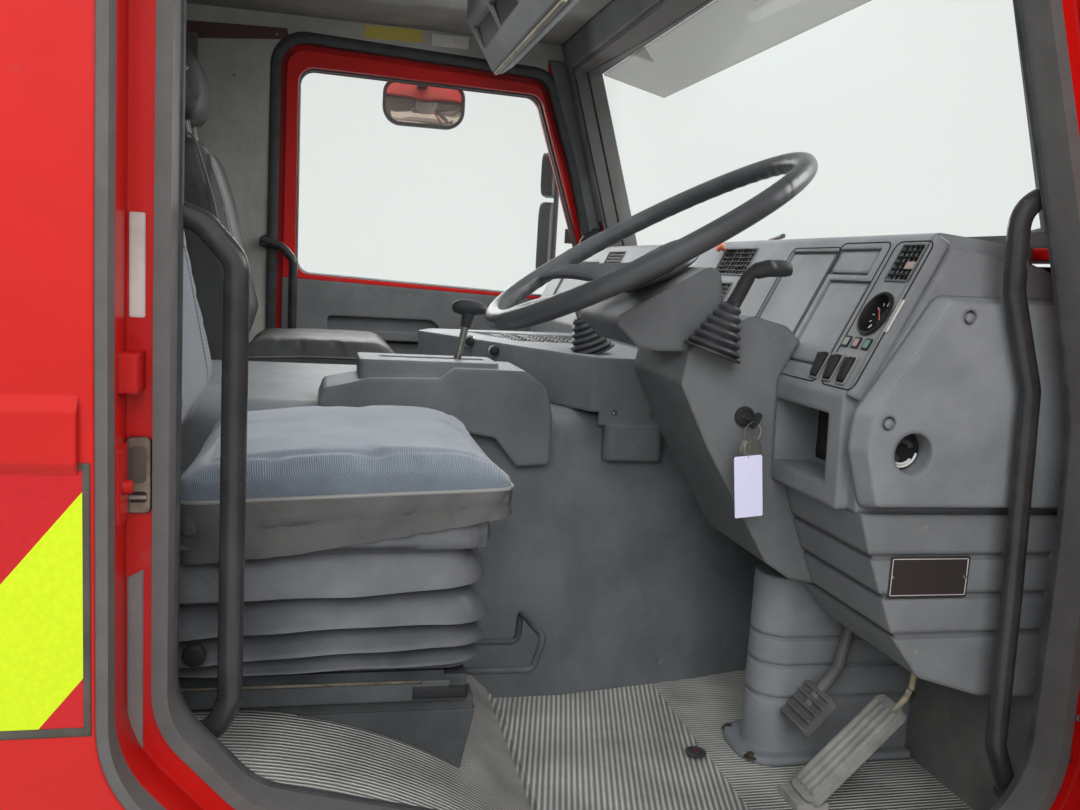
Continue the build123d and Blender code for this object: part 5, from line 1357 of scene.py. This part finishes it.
def buildDashEnd():
    y = nearSurface(["lower_panels"], 470, 536)
    form = Form()
    layPlate(form, (0.4695, y, 0.536), (1, 0, 0), (0, 0, 1), rectangle(0.110, 0.052, 0.002), 0.0, 0.0016, 0.0003, 0)
    loop = rectangle(0.104, 0.046, 0.001)
    matrix = placeAt((0.4695, y, 0.536), (1, 0, 0), (0, 0, 1))
    form.tube([(p.x, p.y, 0.0016) for p in loop], 0.0006, 6, 1, matrix, loop=True)
    for u in (-0.0495, 0.0495):
        form.lathe([(0.0022, 0.0010), (0.0022, 0.0024), (0.0015, 0.0030), (0.0002, 0.0031)], 16, 2,
                   matrix @ Matrix.Translation((u, 0, 0)))
    form.finish("blankPlate", [extra["darkPlate"], extra["whiteLabel"], extra["zinc"]], slot="dark_plastic")
    form = Form()
    hole = placeAt((0.416, -0.921, 0.693), (1, 0, 0), (0, 0, 1))
    for radius, start, end, thick, mark in ((0.017, 150, 320, 0.0016, 0), (0.0205, 190, 350, 0.0016, 0), (0.012, 20, 250, 0.004, 1)):
        path = [(radius * math.cos(math.radians(a)), radius * math.sin(math.radians(a)), 0.0035) for a in
                [start + (end - start) * k / 24 for k in range(25)]]
        form.tube(path, thick, 10, mark, hole)
    # black disk across the hole behind the hose: painted shade of the hole's dark inside
    form.lathe([(0.0245, 0.0), (0.0245, 0.0012), (0.0002, 0.0012), (0.0002, 0.0)], 40, 2, hole)
    form.finish("hoseInHole", [extra["paleCable"], extra["gaiter"], extra["deepBlack"]], slot="dark_plastic")


buildDashEnd()


# keys in the ignition, with a blank tag
keys = {
    "lock": (0.3275, -0.728, 0.699),
    "ring": (0.2860, -0.7600, 0.7060),
    "ringRadius": 0.013,
    "tag": (0.040, 0.084),
    "tagTurn": 6,
}


def buildKeys(s):
    form = Form()
    y = nearSurface(["column_cowl"], 300, 700)
    lock = Matrix.Translation((0.300, y, 0.700)) @ Matrix.Rotation(math.pi / 2, 4, "X")
    form.lathe([(0.014, -0.002), (0.014, 0.004), (0.0125, 0.006), (0.0095, 0.0065), (0.0095, 0.005), (0.0005, 0.005)], 32, 0, lock)
    bow = placeAt((0.300, y - 0.026, 0.700), (0.5, 0, 0.86), (0, -1, 0))
    form.plate(rectangle(0.006, 0.026, 0.002), -0.001, 0.001, 0.0003, 1, bow @ Matrix.Translation((0, -0.008, 0)))
    form.plate(rectangle(0.024, 0.022, 0.009), -0.0016, 0.0016, 0.0005, 0, bow @ Matrix.Translation((0, 0.010, 0)))
    r = s["ringRadius"]
    centre = Vector((0.296, y - 0.040, 0.700 - r - 0.002))
    ring = placeAt(centre, (0.94, 0.2, 0), (0, 0, 1))
    form.tube([(r * math.cos(a), r * math.sin(a), 0) for a in (2 * math.pi * k / 40 for k in range(40))], 0.0009, 8, 1, ring,
              loop=True)
    low = centre + Vector((0, 0, -r))
    for turn, length, lift in ((-16, 0.050, 0.001), (9, 0.046, -0.0012)):
        key = placeAt(low + Vector((0, lift * 2, 0.002)), (math.cos(math.radians(turn)), 0, math.sin(math.radians(turn))), (0, 0, 1))
        head = roundedLoop([(-0.012, -0.024, 0.008), (0.012, -0.024, 0.008), (0.012, 0.001, 0.009), (-0.012, 0.001, 0.009)])
        form.plate(head, lift - 0.001, lift + 0.001, 0.0003, 1, key)
        form.plate(flatRows([(-0.004, -length), (0.003, -length), (0.004, -0.023), (-0.004, -0.023)]), lift - 0.0008, lift + 0.0008,
                   0.0002, 1, key)
    tag = placeAt(low + Vector((-0.004, -0.0045, 0.002)), (math.cos(math.radians(s["tagTurn"])), 0,
                  math.sin(math.radians(s["tagTurn"]))), (0, 0, 1))
    w, h = s["tag"]
    form.tube([(0, 0.002, 0), (-0.002, -0.012, 0.0006), (-0.004, -0.024, 0)], 0.0006, 6, 1, tag)
    card = roundedLoop([(-0.004 - w / 2, -0.020 - h, 0.002), (-0.004 + w / 2, -0.020 - h, 0.002),
                        (-0.004 + w / 2, -0.020, 0.003), (-0.004 - w / 2, -0.020, 0.003)])
    form.plate(card, -0.0004, 0.0004, 0, 2, tag)
    form.finish("keys", [slotMaterials["black_plastic"], extra["brassTag"], extra["lilacTag"]], slot="steel")


buildKeys(keys)

# blanked switch panel inside the dashboard's pocket
def buildPocket():
    form = Form()
    place = placeAt((0.419, -0.795, 0.684), (0, -1, 0), (0, 0, 1))
    form.plate(rectangle(0.148, 0.086, 0.010), 0.0, 0.0030, 0.001, 0, place)
    for u in (-0.036, 0.036):
        form.plate(rectangle(0.056, 0.060, 0.006, u=u), 0.0026, 0.0060, 0.0016, 1, place)
        form.plate(rectangle(0.030, 0.020, 0.003, u=u, v=0.012), 0.0056, 0.0080, 0.001, 1, place)
        form.plate(rectangle(0.030, 0.020, 0.003, u=u, v=-0.014), 0.0056, 0.0080, 0.001, 1, place)
    form.finish("pocketBlanks", [extra["deepBlack"], slotMaterials["black_plastic"]], slot="dash_plastic")


buildPocket()
print("patch, seals, dash and keys")


# black louvres in the dashboard's vents: y, v, width, height, columns, rows
vents = [(-875, 184, 49, 50, 5, 6), (-366, 184, 132, 50, 10, 6), (-352, 122, 104, 40, 8, 5), (366, 184, 132, 50, 10, 6),
         (875, 184, 49, 50, 5, 6)]


def buildVents(rows):
    form = Form()
    for y, v, w, h, columns, bars in rows:
        u, v, w, h = -y / 1000, v / 1000, w / 1000 - 0.0006, h / 1000 - 0.0006
        form.plate(rectangle(w, h, 0.002, u=u, v=v), -0.0190, -0.0130, mark=0, matrix=dashPlace)
        for i in range(1, columns):
            form.plate(rectangle(0.0018, h - 0.002, 0, u=u + w * (i / columns - 0.5), v=v), -0.0022, 0.0002, mark=0, matrix=dashPlace)
        for i in range(1, bars):
            form.plate(rectangle(w - 0.002, 0.0022, 0, u=u, v=v + h * (i / bars - 0.5)), -0.0022, 0.0006, mark=0, matrix=dashPlace)
        form.tube([(p.x, p.y, 0.0006) for p in rectangle(w + 0.001, h + 0.001, 0.003, u=u, v=v)], 0.0016, 8, 1, dashPlace, loop=True)
    # edge moulding that closes the outer vents' open side
    for near, far in ((0.9002, 0.9125), (-0.9125, -0.9002)):
        form.plate(flatRows([(0.004, -0.0190), (0.222, -0.0190), (0.222, -0.0002), (0.004, -0.0002)]), near, far, 0.0020, 1,
                   dashPlace @ Matrix(((0, 0, 1, 0), (1, 0, 0, 0), (0, 1, 0, 0), (0, 0, 0, 1))))
    form.finish("ventLouvres", [extra["deepBlack"], slotMaterials["dash_plastic"]], slot="dash_plastic")


buildVents(vents)

form = Form()
form.plate(rectangle(0.018, 0.010, 0.001, u=0.888, v=0.180), 0.0010, 0.0015, 0, 0, dashPlace)
form.finish("ventSticker", [extra["squarePink"]], slot="dash_plastic")


# rocker switches in the console's well and knobs on its near face
consoleSwitches = {
    "columns": 6,
    "rows": 3,
    "start": (0.118, -0.018),
    "step": (0.060, 0.034),
    "floor": 0.728,
}


def buildConsole(s):
    item = Form()
    item.plate(rectangle(0.050, 0.028, 0.002), 0.0, 0.0050, 0.0008)
    rows = [((s["start"][0] + s["step"][0] * i, s["start"][1] + s["step"][1] * k, s["floor"]), (0, 0, 1))
            for i in range(s["rows"]) for k in range(s["columns"])]
    repeatItem("switchFrames", item, rows, extra["squareGrey"])
    item = Form()
    item.plate(rectangle(0.044, 0.022, 0.0015), 0.0045, 0.0100, 0.0016)
    item.plate(rectangle(0.018, 0.018, 0.0015, u=0.010), 0.0095, 0.0128, 0.0012)
    repeatItem("switchRockers", item, rows, slotMaterials["black_plastic"])
    form = Form()
    for x, z in ((0.022, 0.734), (0.060, 0.724)):
        hit = cast(["centre_console"], (x, -1.3, z), (0, 1, 0))
        if hit:
            knob = Matrix.Translation(hit[0]) @ Matrix.Rotation(math.pi / 2, 4, "X")
            form.lathe([(0.0125, 0.0), (0.0125, 0.003), (0.0115, 0.0040), (0.0095, 0.0042), (0.0095, 0.0)], 32, 0, knob)
            form.lathe([(0.0088, 0.0), (0.0082, 0.014), (0.0074, 0.0155), (0.0002, 0.0158)], 28, 1, knob)
    form.finish("consoleKnobs", [extra["chrome"], slotMaterials["black_plastic"]], slot="dash_plastic")


buildConsole(consoleSwitches)


# labels and strip on the far lining, seen from the driver's door
farLabels = [
    ("yellowLabel", [(-169, 1507), (-5, 1511), (-5, 1546), (-169, 1543)]),
    ("whiteLabel", [(20, 1505), (128, 1507), (128, 1542), (20, 1540)]),
    ("maroon", [(-647, 1457), (-374, 1482), (-382, 1511), (-647, 1503)]),
]


def buildFarLabels(rows):
    for i, (name, corners) in enumerate(rows):
        form = Form()
        middle = [sum(c[k] for c in corners) / len(corners) for k in (0, 1)]
        hits = [cast(["wall_lining", "side_frame_left", "roof_lining"], (x / 1000, 0, z / 1000), (0, 1, 0)) for x, z in corners]
        if not all(hits):
            continue
        level = min(h[0].y + side["lean"] * (h[0].z - middle[1] / 1000) for h in hits)
        flat = [Vector((x / 1000, level - side["lean"] * (z - middle[1]) / 1000, z / 1000)) for x, z in corners]
        form.rings([[p + Vector((0, -0.0012, 0)) for p in flat], [p + Vector((0, -0.0004, 0)) for p in flat]])
        form.finish("farLabel%d" % i, [extra[name]], slot="quilted_lining")


buildFarLabels(farLabels)


# screws, rivets and studs: a domed head on each place
def buildHeads():
    head = Form().lathe([(0.0048, -0.0006), (0.0048, 0.0008), (0.0042, 0.0022), (0.0028, 0.0031), (0.0002, 0.0034)], 16)
    rows = []
    for x, z in ((603, 592), (635, 554), (619, 394), (636, 400), (613, 342)):
        hit = cast(["side_frame_right", "pillar_trim", "lower_panels", "door_right_trim"], (x / 1000, -1.3, z / 1000), (0, 1, 0))
        if hit:
            rows.append((hit[0], (0, -1, 0)))
    for x, z in ((232, 645), (299, 645)):
        rows.append((cast(["centre_console"], (x / 1000, -1.3, z / 1000), (0, 1, 0))[0], (0, -1, 0)))
    for x, z in ((-409, 1493), (-520, 1372)):
        rows.append((cast(["wall_lining"], (x / 1000, 0, z / 1000), (0, 1, 0))[0], (0, -1, 0)))
    repeatItem("screwHeads", head, rows, extra["zinc"])
    washer = Form().lathe([(0.0088, -0.0004), (0.0088, 0.0008), (0.0080, 0.0016), (0.0058, 0.0018), (0.0058, 0.0010), (0.0046, 0.0010),
                           (0.0040, 0.0030), (0.0002, 0.0034)], 24)
    rows = [((x / 1000, sign * 0.9335, z / 1000), (0, sign, 0)) for sign in (-1, 1) for x, z in ((471, 856), (380, 728))]
    repeatItem("coverWashers", washer, rows, extra["whiteLabel"])
    bolt = Form().lathe([(0.0098, -0.0004), (0.0098, 0.0014), (0.0090, 0.0020), (0.0066, 0.0020)], 24)
    bolt.lathe([(0.0064, 0.0016), (0.0064, 0.0062), (0.0056, 0.0070), (0.0002, 0.0070)], 6)
    rows = [((x, y, 0.1655), (0, 0, 1)) for x, y in ((0.388, -0.667), (0.392, -0.573), (0.560, -0.678), (0.560, -0.562))]
    repeatItem("bootBolts", bolt, rows, extra["dullSteel"], jitter=1.0, seed=3)


buildHeads()


# mirror glasses: on the kerb mirror and on both doors' heads
def buildMirrors():
    form = Form()
    rows = [(-0.093, 1.3135, 0.05), (0.147, 1.3135, 0.05), (0.147, 1.4365, 0.036), (-0.093, 1.4365, 0.036)]
    loop = spaced(roundedLoop(rows, 8), 64)
    y = 1.2 - 0.0141
    rings = []
    for amount, lift in ((0.0, 0.0), (0.0, 0.0006), (0.0015, 0.0012), (0.012, 0.0030), (0.028, 0.0050), (0.046, 0.0062), (0.058, 0.0066)):
        middle = Vector((0.027, 1.375))
        ring = [between(p, middle, amount / 0.0615 * 0.98) for p in loop]
        rings.append([(p.x, y - lift, p.y) for p in ring])
    form.rings(rings, 0)
    edge = spaced(roundedLoop([(-0.099, 1.3075, 0.055), (0.153, 1.3075, 0.055), (0.153, 1.4425, 0.04), (-0.099, 1.4425, 0.04)], 8), 64)
    form.tube([(p.x, y - 0.0010, p.y) for p in inset(edge, 0.0035)], 0.0058, 10, 1, loop=True)
    form.finish("kerbMirrorGlass", [extra["mirror"], extra["gaiter"]], body="door_left", slot="clear_glass", smooth=60)
    for sign, tag in ((-1, "Right"), (1, "Left")):
        form = Form()
        for z, w, h in ((1.200, 0.170, 0.140), (0.985, 0.190, 0.250)):
            across = Vector((0.35, -0.94, 0)).normalized()
            normal = Vector((-0.94, -0.35, 0)).normalized()
            place = Matrix.Translation(Vector((0.468, -1.290, z)) + normal * 0.018) @ Matrix(
                (across, Vector((0, 0, 1)), normal)).transposed().to_4x4()
            if sign < 0:
                place = openDoor @ place
            else:
                place = Matrix.Diagonal((1, -1, 1, 1)) @ place
            r = min(w, h) * 0.3
            form.plate(rectangle(w - 0.014, h - 0.014, r - 0.006, 8), 0.0, 0.0014, 0.0005, 0, place)
            loop = rectangle(w - 0.008, h - 0.008, r - 0.003, 8)
            form.tube([(p.x, p.y, 0.0) for p in loop], 0.0028, 8, 1, place, loop=True)
        form.finish("mirrorGlass" + tag, [extra["mirror"], extra["gaiter"]], body="door_right" if sign < 0 else "door_left",
                    slot="clear_glass", smooth=60)


buildMirrors()


# belts: webbing from the roof edge through a chrome guide, one on each side
def buildBelt(sign, tag):
    form = Form()
    x, wide, thick = (-0.440 if sign < 0 else -0.640), 0.046, 0.0014
    rows = [(0.952, 1.470), (0.938, 1.380), (0.925, 1.250), (0.915, 1.120), (0.910, 1.060)]
    rings = []
    for i, (y, z) in enumerate(rows):
        sway = 0.003 * math.sin(i * 1.7)
        rings.append([(x + sway - wide / 2, sign * (y - thick), z), (x + sway + wide / 2, sign * (y - thick), z),
                      (x + sway + wide / 2, sign * (y + thick), z), (x + sway - wide / 2, sign * (y + thick), z)])
    form.rings(rings, 0)
    form.tube([(x - 0.028, sign * 0.912, 1.050), (x + 0.028, sign * 0.912, 1.050), (x + 0.034, sign * 0.912, 1.058),
               (x + 0.028, sign * 0.912, 1.066), (x - 0.028, sign * 0.912, 1.066), (x - 0.034, sign * 0.912, 1.058)],
              0.0035, 12, 1, loop=True)
    form.plate(rectangle(0.060, 0.080, 0.008), 0.0, 0.022, 0.003, 2,
               placeAt((x, sign * 0.972, 1.478), (1, 0, 0) if sign < 0 else (-1, 0, 0), (0, 0, 1)))
    form.tube([(x, sign * 0.914, 1.050), (x, sign * 0.930, 1.000), (x, sign * 0.962, 0.960)], 0.006, 12, 2)
    form.finish("belt" + tag, [extra["webbing"], extra["chrome"], slotMaterials["black_plastic"]], slot="seat_fabric", smooth=40)


buildBelt(-1, "Right")
buildBelt(1, "Left")


# overhead box: worn lower lip and painted shade in its slots; plug on the mats; the pedal's cream link
def buildRest():
    form = Form()
    form.tube([(0.107, y / 1000, 1.3245) for y in range(-328, 329, 41)], 0.0052, 12, 0)
    # black slabs in the slots: painted shade of their dark inside
    for y in (-0.300, -0.095, 0.110):
        for x, z, turn in ((0.0710, 1.391, 0),):
            loop = flatRows([(0.0795, 1.3712), (0.0612, 1.4118), (0.0560, 1.4095), (0.0743, 1.3690)])
            place = Matrix(((1, 0, 0, 0), (0, 0, -1, y + 0.188), (0, 1, 0, 0), (0, 0, 0, 1)))
            form.plate(loop, 0.0, 0.186, 0, 1, place)
    form.finish("overheadLip", [extra["beigeLip"], extra["deepBlack"]], slot="dark_plastic")
    form = Form()
    plug = Matrix.Translation((0.309, -0.642, 0.1652))
    form.lathe([(0.016, -0.001), (0.016, 0.0015), (0.0135, 0.0030), (0.0105, 0.0030), (0.0100, 0.0012), (0.0002, 0.0012)], 32, 0, plug)
    form.lathe([(0.0070, 0.0010), (0.0066, 0.0030), (0.0002, 0.0034)], 20, 1, plug)
    form.finish("floorPlug", [extra["gaiter"], extra["maroon"]], slot="seal_rubber")
    form = Form()
    y = -0.784
    path = roundPath([(0.534, y - 0.016, 0.296), (0.548, y - 0.028, 0.330), (0.556, y - 0.022, 0.372)], 0.02, 8)
    form.tube(path, 0.0046, 12, 0)
    form.lathe([(0.0080, 0.0), (0.0080, 0.010), (0.0068, 0.0115), (0.0046, 0.0115)], 6, 1,
               Matrix.Translation((0.546, y - 0.027, 0.322)) @ Matrix.Rotation(math.radians(20), 4, "Y"))
    form.finish("pedalLink", [extra["creamRod"], extra["brassTag"]], slot="steel")


buildRest()


# wiper blades along the foot of the glass, each clipped to the end of its arm
def buildWipers():
    form = Form()
    for middle in (-0.710, 0.020):
        path = []
        for k in range(13):
            y = max(-0.86, min(0.86, middle + 0.11 + (k / 12 - 0.5) * 0.52))
            hit = cast(["windscreen", "windscreen_frame", "windscreen_seal"], (1.2, y, 0.958), (-1, 0, 0))
            path.append(hit[0] + Vector((0.010, 0, 0)))
        form.tube(path, 0.0042, 10, 0)
        form.tube([p + Vector((-0.0052, 0, -0.0006)) for p in path], 0.0022, 8, 1)
    form.finish("wiperBlades", [slotMaterials["black_plastic"], extra["gaiter"]], slot="seal_rubber")


buildWipers()


# round headlamp faces: rim ring, domed lens and its upright flutes
lampFaces = {
    "middle": (0.753, 0.745, 0.415),
    "lens": 0.0645,
    "dome": 0.0060,
    "flutes": 9,
}


def buildLampFaces(s):
    x, y, z = s["middle"]
    r, dome = s["lens"], s["dome"]
    form = Form()
    for sign in (-1, 1):
        place = placeAt((x, sign * y, z), (0, 1, 0), (0, 0, 1))
        form.lathe([(r + 0.009, 0.0), (r + 0.009, 0.004), (r + 0.007, 0.006), (r + 0.002, 0.006), (r + 0.0005, 0.002),
                    (r + 0.0005, 0.0)], 48, 0, place)
        form.lathe([(r, -0.001), (r, 0.001), (r * 0.8, dome * 0.5), (r * 0.45, dome * 0.85), (0.0002, dome)], 48, 1, place)
        for k in range(s["flutes"]):
            u = r * 0.86 * (2 * k / (s["flutes"] - 1) - 1)
            reach = math.sqrt(max(0.0, (r * 0.93) ** 2 - u * u))
            path = [(u, reach * t, dome * (1 - (u * u + (reach * t) ** 2) / (r * r)) + 0.0003) for t in (-1, -0.6, -0.2, 0.2, 0.6, 1)]
            form.tube(path, 0.0022, 8, 1, place)
    form.finish("headlampFaces", [extra["chrome"], extra["lampLens"]], slot="clear_glass")


buildLampFaces(lampFaces)
print("vents, console, mirrors and belts")


# floor, world and lamps
studio = {
    "floorSize": 14.0,
    "floorHeight": -0.152,
    "floorColour": "#b9b9b6",
    "backColour": "#e9eeeb",
    "skyStrength": 0.75,
}


def buildStudio(s):
    mesh = bpy.data.meshes.new("floor")
    half = s["floorSize"]
    z = s["floorHeight"]
    mesh.from_pydata([(-half, -half, z), (half, -half, z), (half, half, z), (-half, half, z)], [], [(0, 1, 2, 3)])
    floor = bpy.data.objects.new("floor", mesh)
    scene.collection.objects.link(floor)
    material, tree, shader = startMaterial("paleFloor", Base_Color=linearColour(s["floorColour"]), Roughness=0.8)
    mesh.materials.append(material)

    world = bpy.data.worlds.new("studio")
    scene.world = world
    world.use_nodes = True
    tree = world.node_tree
    tree.nodes.clear()
    path = addNode(tree, "ShaderNodeLightPath")
    seen = addNode(tree, "ShaderNodeMath", links={0: path.outputs["Is Camera Ray"],
                   1: path.outputs["Is Glossy Ray"]}, operation="MAXIMUM")
    seen = addNode(tree, "ShaderNodeMath", links={0: seen.outputs[0], 1: path.outputs["Is Transmission Ray"]},
                   operation="MAXIMUM")
    soft = addNode(tree, "ShaderNodeBackground", values={"Color": (0.95, 0.97, 1.0, 1.0),
                   "Strength": s["skyStrength"]})
    back = addNode(tree, "ShaderNodeBackground", values={"Color": linearColour(s["backColour"]), "Strength": 1.0})
    mix = addNode(tree, "ShaderNodeMixShader", links={0: seen.outputs[0], 1: soft.outputs[0], 2: back.outputs[0]})
    addNode(tree, "ShaderNodeOutputWorld", links={"Surface": mix.outputs[0]})


def addLamp(name, place, target, size, power, colour=(1, 1, 1)):
    data = bpy.data.lights.new(name, "AREA")
    data.shape = "RECTANGLE"
    data.size, data.size_y = size
    data.energy = power
    data.color = colour
    lamp = bpy.data.objects.new(name, data)
    lamp.location = place
    lamp.rotation_euler = (Vector(target) - Vector(place)).to_track_quat("-Z", "Y").to_euler()
    lamp.visible_camera = False
    lamp.visible_glossy = name in ("frontLight", "passengerLight", "rearLight")
    scene.collection.objects.link(lamp)


buildStudio(studio)
addLamp("doorLight", (-0.9, -3.9, 2.6), (0.1, -0.4, 0.6), (3.0, 2.2), 118)
addLamp("frontLight", (3.6, -0.6, 2.9), (0.2, -0.2, 0.9), (2.6, 2.2), 120)
addLamp("passengerLight", (-0.3, 3.6, 2.3), (0, 0, 0.9), (2.8, 2.0), 75)
addLamp("cabinLight", (0.12, -0.30, 1.50), (0.20, -0.30, 0.2), (0.8, 0.9), 12)
addLamp("screenLight", (0.44, -0.05, 1.44), (-0.25, -0.2, 0.5), (1.5, 0.3), 7)
addLamp("windowLight", (0.1, 0.90, 1.15), (0.0, 0.0, 0.75), (0.8, 0.5), 4)
addLamp("rearLight", (-4.2, 0.4, 2.8), (0, 0, 0.9), (2.4, 2.0), 60)
